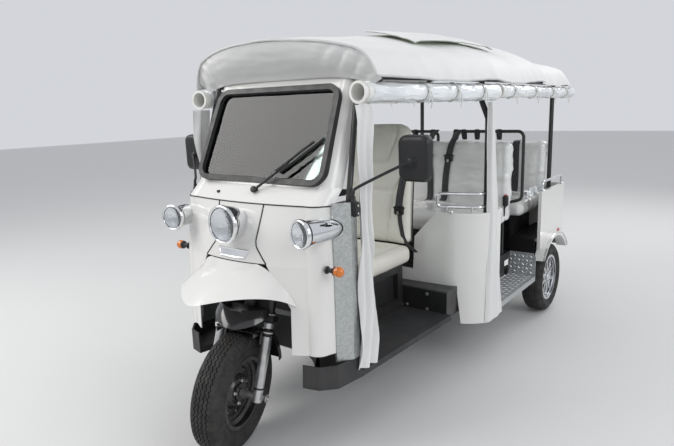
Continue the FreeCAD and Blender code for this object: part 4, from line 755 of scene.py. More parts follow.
def roof_section(y, columns=ROOF_COLUMNS):
    """Half-rounded section at a station from one hem over the crest to the other, as (x, z)."""
    half, edge, crest = between(y, ROOF_ROWS)
    sx, sz = half - 0.062, edge + 0.100
    rise = crest - sz
    radius = (sx * sx + rise * rise) / (2 * rise)
    points = []
    for i in range(columns):
        u = -1 + 2 * i / (columns - 1)
        side = -1 if u < 0 else 1
        if abs(u) > SHOULDER:
            t = (abs(u) - SHOULDER) / (1 - SHOULDER)
            bulge = 0.010 * math.sin(math.pi * t)
            points.append([side * (sx + (half - sx) * t + bulge), sz + (edge - sz) * t + bulge * 0.5])
        else:
            x = sx * u / SHOULDER
            points.append([x, crest - radius + math.sqrt(radius ** 2 - x * x)])
    for _ in range(4):
        calm = [list(p) for p in points]
        for i in range(2, columns - 2):
            for k in (0, 1):
                calm[i][k] = (points[i - 1][k] + points[i + 1][k] + 2 * points[i][k]) / 4
        points = calm
    return points


def roof_height(x, y, columns=ROOF_COLUMNS):
    """Height of the roof's section at a place, without sag and folds."""
    return min(roof_section(y, columns), key=lambda p: abs(p[0] - x))[1]


def sag_at(y, depth):
    """Sag of the cloth between two roof bows."""
    for low, high in zip(BOW_STATIONS, BOW_STATIONS[1:]):
        if low <= y <= high:
            return depth * math.sin(math.pi * (y - low) / (high - low)) ** 2
    return 0.0


def roof_grid(front_at, end, drop, rows):
    """Outer face of a stretch of roof canvas, row by row from its front edge to its end."""
    sag = trim_sizes().sag
    middle = front_at(0.0)
    grid = []
    for i in range(rows):
        v = i / (rows - 1)
        line = []
        for j, (x, _) in enumerate(roof_section(middle + v * (end - middle))):
            y = front_at(x) + v * (end - front_at(x))
            px, pz = roof_section(y)[j]
            u = abs(-1 + 2 * j / (ROOF_COLUMNS - 1))
            across = max(0.0, 1 - (u / SHOULDER) ** 4)
            pz -= drop + sag_at(y, sag) * (0.35 + 0.65 * across)
            if u > SHOULDER:
                hem = (u - SHOULDER) / (1 - SHOULDER)
                side = 1 if x > 0 else -1
                wave = 0.0045 * math.sin(y * 7.2 + side) + 0.0055 * ripple((side * 3, y, 0), 6.5)
                pz -= hem ** 1.5 * (0.017 + wave)
                px += side * hem * (0.004 + 0.011 * ripple((side * 7, y, 1), 9.0))
            fold = ripple((px * 1.6 + y * 0.5, y * 0.8, 0.3), 4.5) * 0.0030
            crease = max(0.0, ripple((px * 2.2 - y, y * 2.4, 4.0), 5.5)) ** 2 * 0.010 * (0.4 + u)
            line.append(at(px, y, pz + fold + crease))
        grid.append(line)
    return grid


def cloth_sheet(name, grid, look, thickness=CLOTH_T, flip=False, sharp=60.0):
    """Thin closed sheet of cloth under a grid of points on its outer face."""
    rows, columns = len(grid), len(grid[0])
    faces = grid_faces(rows, columns)
    shape = bmesh.new()
    outer = [shape.verts.new(p) for row in grid for p in row]
    for face in faces:
        shape.faces.new([outer[i] for i in (reversed(face) if flip else face)])
    shape.normal_update()
    inner = [shape.verts.new(v.co - v.normal * thickness) for v in outer]
    for face in faces:
        shape.faces.new([inner[i] for i in (face if flip else reversed(face))])
    rim = list(range(columns))
    rim += [i * columns + columns - 1 for i in range(1, rows)]
    rim += [(rows - 1) * columns + j for j in reversed(range(columns - 1))]
    rim += [i * columns for i in reversed(range(1, rows - 1))]
    for a, b in zip(rim, rim[1:] + rim[:1]):
        shape.faces.new((outer[a], outer[b], inner[b], inner[a]))
    bmesh.ops.recalc_face_normals(shape, faces=shape.faces)
    return add_shape(name, shape, look, sharp)


def declare_sheet(grid):
    """Measures the width, length and area of the grid that a cloth piece was made from, and does nothing with
    them.
    """
    width = max(sum((q - p).length for p, q in zip(row, row[1:])) for row in grid)
    length = max(sum((b[j] - a[j]).length for a, b in zip(grid, grid[1:])) for j in range(len(grid[0])))
    area = sum((b[j + 1] - a[j]).cross(b[j] - a[j + 1]).length / 2
               for a, b in zip(grid, grid[1:]) for j in range(len(a) - 1))


def cord_along(name, lines, radius, look):
    """Piping along one or more lines of points."""
    return add_piece(name, [sweep(line, circle(radius, 8)) for line in lines], look, 60)


def side_edges(grid):
    """Lines of points down the two sides of a grid."""
    return [[row[0] for row in grid], [row[-1] for row in grid]]


def make_roof():
    """Main roof canvas, its lower rear section and their piped hems."""
    hem = trim_sizes().hem
    main = roof_grid(arch_front, SEAM_STATION, 0.0, 96)
    rear = roof_grid(lambda x: SEAM_STATION - SEAM_LAP, ROOF_END, 0.014, 34)
    for i, row in enumerate(rear):
        for p in row:
            p.z -= 0.030 * max(0.0, (i - 28) / 5) ** 2
    top = cloth_sheet("roof_main_canvas", main, "canvas", flip=True)
    tail = cloth_sheet("roof_rear_canvas", rear, "canvas", flip=True)
    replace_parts(top, "roof_canvas")
    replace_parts(tail, "roof_canvas")
    hems = cord_along("roof_hem_piping", [main[0]] + side_edges(main), hem, "piping")
    tail_hems = cord_along("rear_hem_piping", side_edges(rear) + [rear[-1]], hem * 0.7, "canvas")
    seam = [p + Vector((0, 0.004, 0.001)) for p in main[-1]]
    join = cord_along("roof_seam_piping", [seam], hem * 0.55, "piping")
    declare_sheet(main)
    declare_sheet(rear)


def make_flap():
    """Loose flap on the roof's left shoulder, lifted so that its pale green lining shows."""

    def place(v, t):
        y = 0.98 + v * 0.92
        x = 0.12 + t * (between(y, ROOF_ROWS)[0] - 0.300)
        lift = 0.017 * math.sin(math.pi * v) ** 0.5 * t ** 1.4 + 0.004 * ripple((x, y, 2.0), 9.0) * t
        return at(x, y, roof_height(x, y, 161) + 0.0135 + lift)

    grid = point_grid(22, 15, place)
    flap = cloth_sheet("roof_flap", grid, "canvas", 0.002, flip=True)
    under = [[p - Z_AXIS * 0.0035 for p in row] for row in grid]
    lining = cloth_sheet("roof_flap_lining", under, "flap", 0.001, flip=True)
    declare_sheet(grid)
    declare_sheet(grid)


VISOR_FEET = ((0.000, 0.444), (0.180, 0.445), (0.350, 0.450), (0.500, 0.460))
VISOR_FOOT = 1.6885
VISOR_BEND = 0.512
VISOR_HALF = 0.552


def make_visor():
    """Puffed canvas over the windscreen, gathered to its foot, with its piped edge."""

    def place(v, t):
        x = VISOR_HALF * (-1 + 2 * t)
        reach = abs(x)
        end = min(1.0, (reach / VISOR_BEND) ** 6)
        corner = max(0.0, reach - VISOR_BEND) / (VISOR_HALF - VISOR_BEND)
        brow = roof_height(x, arch_front(x)) - 0.006
        brow_y = arch_front(x) + 0.004
        foot = VISOR_FOOT - 0.045 * end + 0.026 * corner
        foot_y = between(reach, VISOR_FEET)[0] + 0.020 * corner
        z = brow + (foot - brow) * v
        y = brow_y + (foot_y - brow_y) * v
        y -= 0.020 * math.sin(math.pi * min(1.0, v * 1.15)) * (1 - end)
        pull = math.exp(-((reach - 0.43) / 0.09) ** 2) * v * (1 - v) * 4
        y += 0.012 * pull * math.sin(22 * (z - reach) * 3.2)
        y += 0.0030 * ripple((x * 2.0, v * 1.2, 5.0), 6.0)
        return at(x, y, z)

    grid = point_grid(25, 89, place)
    visor = cloth_sheet("visor_cloth", grid, "canvas")
    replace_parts(visor, "visor_canvas")
    foot = cord_along("visor_foot_piping", [[p + FORWARD * 0.003 for p in grid[-1]]], trim_sizes().hem * 0.6,
                      "piping")
    declare_sheet(grid)


# Rolled side curtains, with their ends, radius and the places of their ties, and the canvas at the posts
SIDES = (("left", 1), ("right", -1))
ROLLS = {"front": ((0.500, 0.370, 1.612), (0.645, 1.512, 1.612), 0.050, (0.36, 0.60, 0.84)),
         "rear": ((0.645, 1.540, 1.618), (0.606, 3.168, 1.618), 0.044, (0.09, 0.36, 0.62, 0.86))}
PIPE_SHOWN = 0.062
ROLL_STEPS = 110
ROLL_SIDES = 40
SLEEVE_ROWS = ((0.276, 1.452, 1.700, 0.6575), (0.420, 1.454, 1.664, 0.6575), (0.940, 1.466, 1.562, 0.6575),
               (1.250, 1.468, 1.530, 0.650), (1.561, 1.470, 1.507, 0.6425))


def film_roll(start, run, radius, ties, seed):
    """Rolled film as a creased tube, drawn in where the ties hold it."""
    length = run.length
    ahead = run.normalized()
    side, rise = frame_on(ahead)
    angles = round_steps(ROLL_SIDES)
    rings = []
    for i in range(ROLL_STEPS + 1):
        t = i / ROLL_STEPS
        grip = sum(math.exp(-((t - tie) * length / 0.022) ** 2) for tie in ties)
        ring = []
        for angle in angles:
            c, s = math.cos(angle), math.sin(angle)
            spiral = 0.0035 * ((angle / (2 * math.pi) + t * 0.6) % 1.0)
            crease = 0.0042 * ripple((t * length * 0.8, c * 0.4, s * 0.4), 13.0, seed)
            crease += 0.0030 * ripple((t * length * 2.4, c, s), 6.0, seed + 5)
            r = radius - 0.004 - spiral - 0.0085 * grip + crease * (1 + 1.3 * grip)
            r = min(radius + 0.002, max(radius - 0.016, r))
            ring.append(start + run * t + spoke(side, rise, angle) * r)
        rings.append(ring)
    rings += [[place + spoke(side, rise, angle) * (radius - 0.0075) for angle in angles]
              for place in (start + run + ahead * 0.001, start - ahead * 0.001)]
    return [p for ring in rings for p in ring], grid_faces(len(rings), ROLL_SIDES, True, True)


def tie_part(place, ahead, radius, seed):
    """Cord tied round a roll with a knot and two hanging ends."""
    side, rise = frame_on(ahead)
    out = side if side.x * place.x > 0 else -side
    knot = place + out * (radius - 0.003) + rise * 0.012
    loop = [place + spoke(side, rise, a) * (radius - 0.004) + ahead * 0.004 * math.sin(a)
            for a in round_steps(28)]
    bow = [knot + out * 0.006 * math.sin(a) + rise * 0.010 * math.cos(a) + ahead * 0.006 * math.sin(2 * a)
           for a in round_steps(16)]
    parts = [sweep(loop, circle(0.0030, 7), closed=True), sweep(bow, circle(0.0034, 7), closed=True)]
    for number, drop in ((-1, 0.066), (1, 0.088)):
        stray = number * 0.010 + 0.004 * ripple((seed, drop, 0), 9)
        line = [knot + out * a + ahead * b - Z_AXIS * c for a, b, c in
                ((0, 0, 0), (0.010, number * 0.008, 0.018), (0.011, number * 0.013, drop * 0.6),
                 (0.007, stray, drop))]
        parts.append(sweep(smooth_path(line, 5), circle(0.0028, 7)))
    return join_parts(parts)


def make_curtains():
    """Film rolls on both sides with their ties, pipe rims and end caps."""
    for side_name, sign in SIDES:
        ties, rims = [], []
        for label, (start, end, radius, grips) in ROLLS.items():
            start, end = (at(x * sign, y, z) for x, y, z in (start, end))
            ahead = (end - start).normalized()
            first = start + ahead * PIPE_SHOWN
            run = end - ahead * 0.020 - first
            roll = add_piece("curtain_" + label + "_" + side_name,
                             [film_roll(first, run, radius, grips, sign * 3.0)], "film", 50)
            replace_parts(roll, "curtain_rolls")
            ties += [tie_part(first + run * tie, ahead, radius, tie * sign) for tie in grips]
            for step, inset, wire in ((0.0015, 0.0105, 0.0024), (0.016, 0.0065, 0.0022),
                                      (0.028, 0.0065, 0.0022)):
                rims.append(ring_part(start, ahead, step, radius - inset, wire, 40))
        # The cap closes the rear pipe, which is the last of the two
        cap = turned([(-0.018, 0.0365), (-0.004, 0.0360), (0.004, 0.031), (0.009, 0.019), (0.0105, 0.0)],
                     end, ahead, 36)
        add_piece("curtain_end_cap_" + side_name, [cap], "pipe", 60)
        add_piece("curtain_ties_" + side_name, ties, "cord", 60)
        add_piece("pipe_rims_" + side_name, rims, "pipe", 60)


def make_strips():
    """Folded strips that hang at the front posts, and sleeves of the middle posts, flared over the step."""

    def strip(v, t):
        flare = 1.0 - 0.42 * math.exp(-((v - 0.40) / 0.22) ** 2) + 0.10 * v
        y = 0.392 + (t - 0.5) * 0.116 * flare + 0.022 * ripple((0, v * 1.9, 3.0), 3.0)
        x = 0.5110 + t * 0.004 + 0.0022 * ripple((t, v * 4.0, 1.0), 5.0)
        x += 0.0165 * math.sin(t * 12.5 + 2.6 * math.sin(v * 6.5) + 3.0 * v) * (0.6 + 0.4 * v)
        return x, y, 1.560 - v * 1.172

    def sleeve(v, t):
        z = 0.278 + v * 1.281
        low, high, x = between(z, SLEEVE_ROWS)
        curl = max(0.0, abs(t - 0.5) * 2 - 0.72) / 0.28
        x += 0.0035 - 0.026 * curl ** 2 + 0.0022 * ripple((t * 1.5, z * 3.0, 7.0), 4.5)
        x += 0.0050 * math.sin(t * 11.0 + 2.2 * math.sin(z * 4.2)) * (0.35 + 0.65 * (1 - v))
        if z < 0.94 and curl < 0.05:
            x = max(x, 0.6562)
        return x, low + (high - low) * t, z

    for side_name, sign in SIDES:
        for label, rows, columns, form in (("strip", 60, 27, strip), ("sleeve", 72, 25, sleeve)):
            grid = [[at(x * sign, y, z) for x, y, z in row] for row in point_grid(rows, columns, form)]
            piece = cloth_sheet("canvas_" + label + "_" + side_name, grid, "canvas", 0.0022)
            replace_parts(piece, "canvas_strips")
            hem = cord_along("canvas_" + label + "_hem_" + side_name, side_edges(grid), 0.0022, "canvas")
            declare_sheet(grid)


# Seat pads: an even grid over a rounded box, placed by a form, held at its seams and blown up as cloth
PAD_CELL = 0.0105
BLOW_FRAMES = 20
BLOW_CAP = 0.011
BLOW_PRESSURE = 4.0


def pad_grid(half, radius):
    """Part of a rounded box of given half sizes, on an even grid."""
    counts = [max(4, round(2 * size / PAD_CELL)) for size in half]
    core = [size - radius for size in half]
    number, points, faces = {}, [], []

    def corner_at(place):
        key = tuple(place)
        if key not in number:
            flat = Vector([half[i] * (2 * place[i] / counts[i] - 1) for i in range(3)])
            inner = Vector([max(-core[i], min(core[i], flat[i])) for i in range(3)])
            number[key] = len(points)
            points.append(inner + (flat - inner).normalized() * radius)
        return number[key]

    for axis in range(3):
        u, v = (axis + 1) % 3, (axis + 2) % 3
        for end in (0, counts[axis]):
            for a in range(counts[u]):
                for b in range(counts[v]):
                    corners = []
                    for da, db in ((0, 0), (1, 0), (1, 1), (0, 1)):
                        place = [0, 0, 0]
                        place[axis], place[u], place[v] = end, a + da, b + db
                        corners.append(corner_at(place))
                    faces.append(tuple(corners if end else reversed(corners)))
    return points, faces


def seam_distance(a, b, seams):
    """Distance in the plane of a pad's face from a point to its nearest seam."""
    best = 1.0
    for line in seams:
        for (a0, b0), (a1, b1) in zip(line, line[1:]):
            run = (a1 - a0, b1 - b0)
            t = ((a - a0) * run[0] + (b - b0) * run[1]) / (run[0] ** 2 + run[1] ** 2)
            t = max(0.0, min(1.0, t))
            best = min(best, math.hypot(a - a0 - run[0] * t, b - b0 - run[1] * t))
    return best


def blow_up(obj, held):
    """Cloth under pressure, held at its seams and where it rests, with its result applied."""
    mesh = obj.data
    start = [v.co.copy() for v in mesh.vertices]
    pins = obj.vertex_groups.new(name="held")
    for number, weight in enumerate(held):
        if weight > 0.02:
            pins.add([number], min(1.0, weight), "REPLACE")
    cloth = obj.modifiers.new("Blow", "CLOTH")
    cloth.settings.vertex_group_mass = "held"
    cloth.settings.use_pressure = True
    cloth.settings.uniform_pressure_force = BLOW_PRESSURE
    cloth.settings.effector_weights.gravity = 0.0
    cloth.settings.quality = 4
    cloth.collision_settings.use_collision = False
    cloth.point_cache.frame_start = 1
    cloth.point_cache.frame_end = BLOW_FRAMES
    scene = bpy.context.scene
    for number in range(1, BLOW_FRAMES + 1):
        scene.frame_set(number)
    result = obj.evaluated_get(bpy.context.evaluated_depsgraph_get()).data
    for vertex, first, last in zip(mesh.vertices, start, result.vertices):
        move = last.co - first
        if move.length > BLOW_CAP:
            move *= BLOW_CAP / move.length
        vertex.co = first + move
    obj.modifiers.remove(cloth)
    obj.vertex_groups.remove(pins)
    scene.frame_set(1)


def leather_creases(point):
    """Soft unevenness of upholstered leather."""
    return 0.0013 * ripple(point, 11.0) + 0.0005 * ripple(point, 42.0, 3.0)


def film_creases(point):
    """Long level creases of the packing film, with a few sharp folds."""
    long = ripple((point.x * 0.22, point.y * 0.8, point.z), 21.0, 5.0)
    fine = ripple((point.x * 0.5, point.y, point.z * 1.6), 46.0, 9.0)
    fold = max(0.0, ripple((point.x * 0.35 + point.z * 0.4, point.y, point.z), 17.0, 2.0) - 0.22)
    return 0.0052 * long + 0.0016 * fine + 0.024 * fold


# How far a pad is built under its size before it is blown up, and its creases
UPHOLSTERY = {"leather": (0.003, leather_creases), "bench": (0.004, film_creases)}


def make_pad(name, node, look, half, radius, form, face, seams, groove):
    """Padded piece: blown up between its seams, then grooved along them and creased.

    The form places a point of the box. The face is the (axis, sign) that carries the seams.
    """
    shrink, creases = UPHOLSTERY[look]
    axis, sign = face
    u, v = [i for i in range(3) if i != axis]
    small = [size - shrink for size in half]
    points, faces = pad_grid(small, radius)
    on_face = [sign * p[axis] / small[axis] for p in points]
    lengths = [seam_distance(p[u], p[v], seams) if side > 0.3 else 1.0 for p, side in zip(points, on_face)]
    piece = add_piece(name, [([form(p) for p in points], faces)], look, 80)
    vertices = piece.data.vertices
    blow_up(piece, [math.exp(-(length / 0.006) ** 2) if side > 0.3 else (1.0 if side < -0.7 else 0.15)
                    for length, side in zip(lengths, on_face)])
    piece.data.update()
    for vertex, normal, length in zip(vertices, [v.normal.copy() for v in vertices], lengths):
        depth = groove * math.exp(-(length / 0.0065) ** 2)
        pucker = 0.0016 * math.exp(-(length / 0.022) ** 2) * ripple(vertex.co, 38.0)
        vertex.co += normal * (creases(vertex.co) + pucker - depth)
    piece.data.update()
    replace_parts(piece, node)


def lean_form(rows, middle, round_top=0.0):
    """Form of a backrest from rows of height, half-width, y of its front and depth, from its foot up."""
    low, high = rows[0][0], rows[-1][0]

    def form(p):
        t = max(0.0, min(1.0, p.z / (high - low) + 0.5))
        half, front, depth = between(low + t * (high - low), rows)
        room = max(0.0, round_top - (1 - t) * (high - low))
        half -= round_top - math.sqrt(max(0.0, round_top ** 2 - room ** 2))
        y = front + depth * (p.y / (2 * middle[1]) + 0.5)
        return at(p.x * half / middle[0], y, (low + high) / 2 + p.z)

    return form


def cushion_form(centre, dip=0.0):
    """Form of a cushion about its centre, dipped where it is sat on."""

    def form(p):
        low = dip * math.exp(-((p.x / 0.12) ** 2 + (p.y / 0.13) ** 2)) if p.z > 0 else 0.0
        return at(*(Vector(centre) + p - Z_AXIS * low))

    return form


DRIVER_BACK = ((0.7426, 0.250, 1.215, 0.095), (1.130, 0.238, 1.262, 0.104), (1.375, 0.200, 1.312, 0.094),
               (1.450, 0.172, 1.328, 0.092))
DRIVER_SEAMS = (((-0.185, 0.345), (-0.086, 0.146), (0.086, 0.146), (0.185, 0.345)),
                ((-0.240, 0.120), (-0.140, -0.034), (0.140, -0.034), (0.240, 0.120)),
                ((-0.140, -0.034), (-0.098, -0.340)), ((0.140, -0.034), (0.098, -0.340)))
SEAT_SEAM = ((-0.185, 0.20), (-0.185, -0.165), (0.185, -0.165), (0.185, 0.20))
# Half-width, front, rear and top of the cushion, then front, lean and top of the back
BENCHES = {
    "one": (0.525, 1.590, 2.0634, 0.872, 2.062, 0.034, 1.292),
    "two": (0.530, 2.350, 2.7914, 0.862, 2.790, 0.036, 1.254),
}
BENCH_FOOT = 0.7456
BACK_FOOT = 0.763
BACK_THICK = 0.108
TOP_FACE = (2, 1)
FRONT_FACE = (1, -1)


def driver_seat():
    """Cream driver's seat: headrest, cross seam and bolsters on the back, a boxed cushion."""
    middle = (0.25, 0.052, 0.3537)
    make_pad("driver_seat_back", "driver_seat_pads", "leather", middle, 0.045,
             lean_form(DRIVER_BACK, middle, 0.055), FRONT_FACE, DRIVER_SEAMS, 0.0085)
    make_pad("driver_seat_cushion", "driver_seat_pads", "leather", (0.250, 0.2375, 0.0565), 0.040,
             cushion_form((0, 1.0375, 0.6857), 0.010), TOP_FACE, (SEAT_SEAM,), 0.0035)


def benches():
    """Passenger cushions and backs under their packing film."""
    for name, (half_x, front, rear, top, back_y, lean, back_top) in BENCHES.items():
        half = (half_x, (rear - front) / 2, (top - BENCH_FOOT) / 2)
        x, y = half_x - 0.045, half[1]
        seam = ((-x, y), (-x, -y + 0.050), (x, -y + 0.050), (x, y))
        make_pad("bench_cushion_" + name, "bench_cushions", "bench", half, 0.040,
                 cushion_form((0, (front + rear) / 2, (top + BENCH_FOOT) / 2)), TOP_FACE, (seam,), 0.003)
        rows = ((BACK_FOOT, half_x, back_y, BACK_THICK), (back_top, half_x, back_y + lean, BACK_THICK))
        middle = (half_x, BACK_THICK / 2, (back_top - BACK_FOOT) / 2)
        x, z = half_x - 0.050, middle[2]
        seam = ((-x, -z), (-x, z - 0.050), (x, z - 0.050), (x, -z))
        make_pad("bench_back_" + name, "bench_backs", "bench", middle, 0.036, lean_form(rows, middle),
                 FRONT_FACE, (seam,), 0.003)


def crumpled_film():
    """Loose sheet of packing film, bunched beside the second bench under the rear rail."""

    def place(v, u):
        near = (u * 3, v * 5)
        return at(0.560 + 0.055 * (u - 0.5) + 0.022 * ripple((*near, 1.0), 1.7),
                  2.43 + 0.26 * (v - 0.5) + 0.020 * ripple((*near, 6.0), 1.9),
                  0.905 + 0.030 * math.sin(math.pi * u) + 0.034 * ripple((*near, 11.0), 1.6))

    grid = point_grid(34, 26, place)
    piece = cloth_sheet("crumpled_film", grid, "film", 0.0012, sharp=28)
    declare_sheet(grid)


# Seat belts
WEBBING_T = 0.0032
DRIVER_STRAP = ((0.196, 1.425, 1.285), (0.222, 1.372, 1.300), (0.230, 1.330, 1.292), (0.214, 1.292, 1.240),
                (0.196, 1.262, 1.130), (0.187, 1.238, 1.030), (0.184, 1.228, 0.960))
DRIVER_STRAP_END = ((0.184, 1.235, 0.945), (0.200, 1.225, 0.860), (0.222, 1.232, 0.770),
                    (0.262, 1.300, 0.690))
REAR_STRAP = ((0.318, 2.890, 1.262), (0.320, 2.812, 1.258), (0.322, 2.786, 1.200), (0.324, 2.778, 1.000),
              (0.322, 2.770, 0.880), (0.320, 2.700, 0.868), (0.316, 2.420, 0.868), (0.315, 2.346, 0.850),
              (0.315, 2.340, 0.765))
SEAT_CORD = ((0.205, 1.425, 1.310), (0.236, 1.352, 1.318), (0.244, 1.312, 1.200), (0.248, 1.285, 1.000),
             (0.252, 1.262, 0.760))
LOOP_PLACES = (-0.105, 0.080, 0.140, 0.240, 0.400, -0.250)


def webbing_run(points, width, across=X_AXIS):
    """Flat strap along a line of points, lying across a given direction."""
    line = smooth_path(points, 6)
    rings = []
    for i, point in enumerate(line):
        ahead = (line[min(i + 1, len(line) - 1)] - line[max(i - 1, 0)]).normalized()
        side = (across - ahead * across.dot(ahead)).normalized()
        face = side.cross(ahead)
        rings.append([point + side * a + face * b for a, b in band(width, WEBBING_T)])
    return loft(rings)


def box_at(low, high, radius, segments=3):
    """Part of a box with rounded edges, given from the nose datum."""
    return rounded_box(at(*low), at(*high), radius, segments)


def belt_adjuster(x, y, z):
    """Length adjuster: a rounded block with its slot bar."""
    return [box_at((x - 0.030, y - 0.012, z - 0.026), (x + 0.030, y + 0.012, z + 0.026), 0.005),
            box_at((x - 0.040, y - 0.0072, z + 0.0116), (x + 0.040, y + 0.0072, z + 0.0196), 0.003, 2)]


def make_belts():
    """Belts of the driver and the benches, their adjusters, loops and the red-button buckle."""
    width = trim_sizes().belt
    # Driver: round the back's left edge from behind, narrow below its adjuster
    straps = [webbing_run(all_at(DRIVER_STRAP), width), webbing_run(all_at(DRIVER_STRAP_END), width * 0.6)]
    blocks = belt_adjuster(0.184, 1.232, 0.950)
    studs = [box_at((0.176, 1.214, 0.926), (0.192, 1.220, 0.946), 0.0025, 2)]
    # Benches: shoulder straps from the hoops over the backs
    for x, lean in ((-0.075, 0.030), (0.108, -0.030)):
        run = ((x, 2.222, 1.374), (x, 2.200, 1.360), (x - lean * 0.1, 2.120, 1.308),
               (x + lean * 0.3, 2.086, 1.240), (x + lean, 2.066, 1.060), (x + lean * 1.2, 2.052, 0.905),
               (x + lean * 1.3, 2.000, 0.882))
        straps.append(webbing_run(all_at(run), width))
        middle = x + lean * 0.45
        blocks += belt_adjuster(middle, 2.075, 1.185)
        studs.append(box_at((middle - 0.008, 2.056, 1.156), (middle + 0.008, 2.062, 1.176), 0.0025, 2))
    straps.append(webbing_run(all_at(REAR_STRAP), width * 1.15))
    # Loops of spare webbing over the hoops
    for x in LOOP_PLACES:
        loop = [(x + 0.012 * min(0.0, math.sin(a)) * math.sin(x * 40), 2.224 + 0.0145 * math.cos(a),
                 1.358 + (0.018 if math.sin(a) > 0 else 0.052) * math.sin(a)) for a in round_steps(16, 1)]
        straps.append(webbing_run(all_at(loop), width * 0.62))
    add_piece("seat_belts", straps, "webbing", 50)
    # Buckle that stands beside the first bench
    foot = at(0.510, 2.086, 0.870)
    blocks.append(webbing_run([foot - Z_AXIS * 0.10, foot - Z_AXIS * 0.03, foot], 0.030, Vector((0.4, 1, 0))))
    blocks.append(rounded_box(foot + Vector((-0.014, -0.024, -0.004)), foot + Vector((0.014, 0.024, 0.072)),
                              0.007))
    add_piece("belt_adjusters", blocks, "plastic")
    add_piece("belt_adjuster_marks", studs, "bolt")
    press = rounded_box(foot + Vector((-0.010, -0.017, 0.066)), foot + Vector((0.010, 0.017, 0.078)), 0.004,
                        2)
    add_piece("belt_buckle_press", [press], "red")
    # Thin cord beside the driver's back
    cord = sweep(smooth_path(all_at(SEAT_CORD), 8), circle(0.004, 10))
    add_piece("belt_guide_cord", [cord], "rubber", 60)


# Lamps, signals, mirrors and the other fittings of the nose
def skin_tree(*names):
    """Search tree over the surfaces of some CAD pieces."""
    meshes = [NODES[name].data for name in names]
    verts, faces = join_parts([([v.co.copy() for v in mesh.vertices], [p.vertices for p in mesh.polygons])
                               for mesh in meshes])
    return BVHTree.FromPolygons(verts, faces)


def onto(tree, start, direction, lift=0.0):
    """Point where a ray meets the skin, lifted off it."""
    place, normal, _, _ = tree.ray_cast(start, direction)
    if place is None:
        return None
    if normal.dot(direction) > 0:
        normal = -normal
    return place + normal * lift


# Mouths of the headlamps: place, radius and turn outwards in degrees
LAMP_MOUTHS = (((0.0, 0.022, 1.062), 0.086, 0.0), ((0.405, 0.070, 1.050), 0.063, 12.0),
               ((-0.405, 0.070, 1.050), 0.063, -12.0))
LENS_EDGE = 0.010
BOWL_STEPS = 8


def make_lamps():
    """Bezels, reflector bowls, bulbs and base rings of the three headlamps."""
    bezels, bowls, bulbs, caps, rings = [], [], [], [], []
    for place, radius, turn in LAMP_MOUTHS:
        centre = at(*place)
        angle = math.radians(turn)
        back = Vector((math.sin(angle), math.cos(angle), 0.0))
        mouth = radius - LENS_EDGE
        bezels.append(turned([(0.0, mouth - 0.001), (-0.0045, mouth + 0.001), (-0.0058, mouth + 0.005),
                              (-0.0040, radius - 0.001), (0.003, radius + 0.0016), (0.012, radius + 0.0012),
                              (0.0145, radius - 0.004), (0.006, mouth)], centre, back, 72, closed=True))
        bowl = [(0.0045 + 0.044 * t ** 1.9, (mouth - 0.001) * (1 - t) + 0.016 * t)
                for t in (k / BOWL_STEPS for k in range(BOWL_STEPS + 1))]
        bowls.append(turned(bowl + [(0.0485, 0.0)], centre, back, 56))
        bulbs.append(turned([(0.049, 0.010), (0.036, 0.010), (0.034, 0.0075), (0.022, 0.0075), (0.016, 0.005),
                             (0.0145, 0.0)], centre, back, 20))
        caps.append(turned([(0.012, 0.0), (0.0125, 0.008), (0.016, 0.0105), (0.024, 0.0112)], centre, back,
                           24))
        for step, width in ((0.0165, 0.0030), (0.0225, 0.0018)):
            rings.append(ring_part(centre, back, step, radius - 0.0062, width, 64))
    for name, parts, look, sharp in (("bezels", bezels, "chrome", 50), ("reflectors", bowls, "reflector", 60),
                                     ("bulbs", bulbs, "lens", 60), ("bulb_shields", caps, "chrome", 60),
                                     ("base_rings", rings, "rubber", 60)):
        add_piece("headlamp_" + name, parts, look, sharp)


def make_signals():
    """Amber turn signals on black stalks, with their collars."""
    centre = at(0.507, 0.190, 0.880)
    lens = turned([(-0.0230, 0.0), (-0.0225, 0.0120), (-0.0170, 0.0185), (-0.0060, 0.0222), (0.004, 0.0228),
                   (0.0045, 0.0214), (0.0060, 0.0214), (0.0065, 0.0224), (0.0140, 0.0200), (0.0200, 0.0150),
                   (0.0235, 0.0080), (0.0245, 0.0)], centre, X_AXIS, 36)
    stalk = turned([(-0.0560, 0.0085), (-0.0480, 0.0085), (-0.0400, 0.0100), (-0.0260, 0.0135),
                    (-0.0215, 0.0185), (-0.0185, 0.0205), (-0.0160, 0.0200), (-0.0160, 0.0)], centre,
                   X_AXIS, 28)
    collar = turned([(-0.0620, 0.0170), (-0.0570, 0.0170), (-0.0545, 0.0130), (-0.0540, 0.0085)], centre,
                    X_AXIS, 28)
    lamp = add_piece("turn_signal_lenses", [lens], "amber", both=True)
    foot = add_piece("turn_signal_stalks", [stalk, collar], "rubber", both=True)
    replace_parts(lamp, "turn_signals")
    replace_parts(foot, "turn_signals")


MIRROR_PLACE = (0.700, 0.480, 1.330)
MIRROR_HALF = (0.076, 0.100)
# Outlines of the housing, from its back to its rim, as depth and scale
HOUSING = ((-0.0080, 0.74), (-0.0065, 0.86), (-0.0020, 0.935), (0.0060, 0.972), (0.0180, 0.990),
           (0.0255, 0.992), (0.0262, 1.0), (0.0345, 1.0), (0.0360, 0.985), (0.0352, 0.955), (0.0310, 0.950))


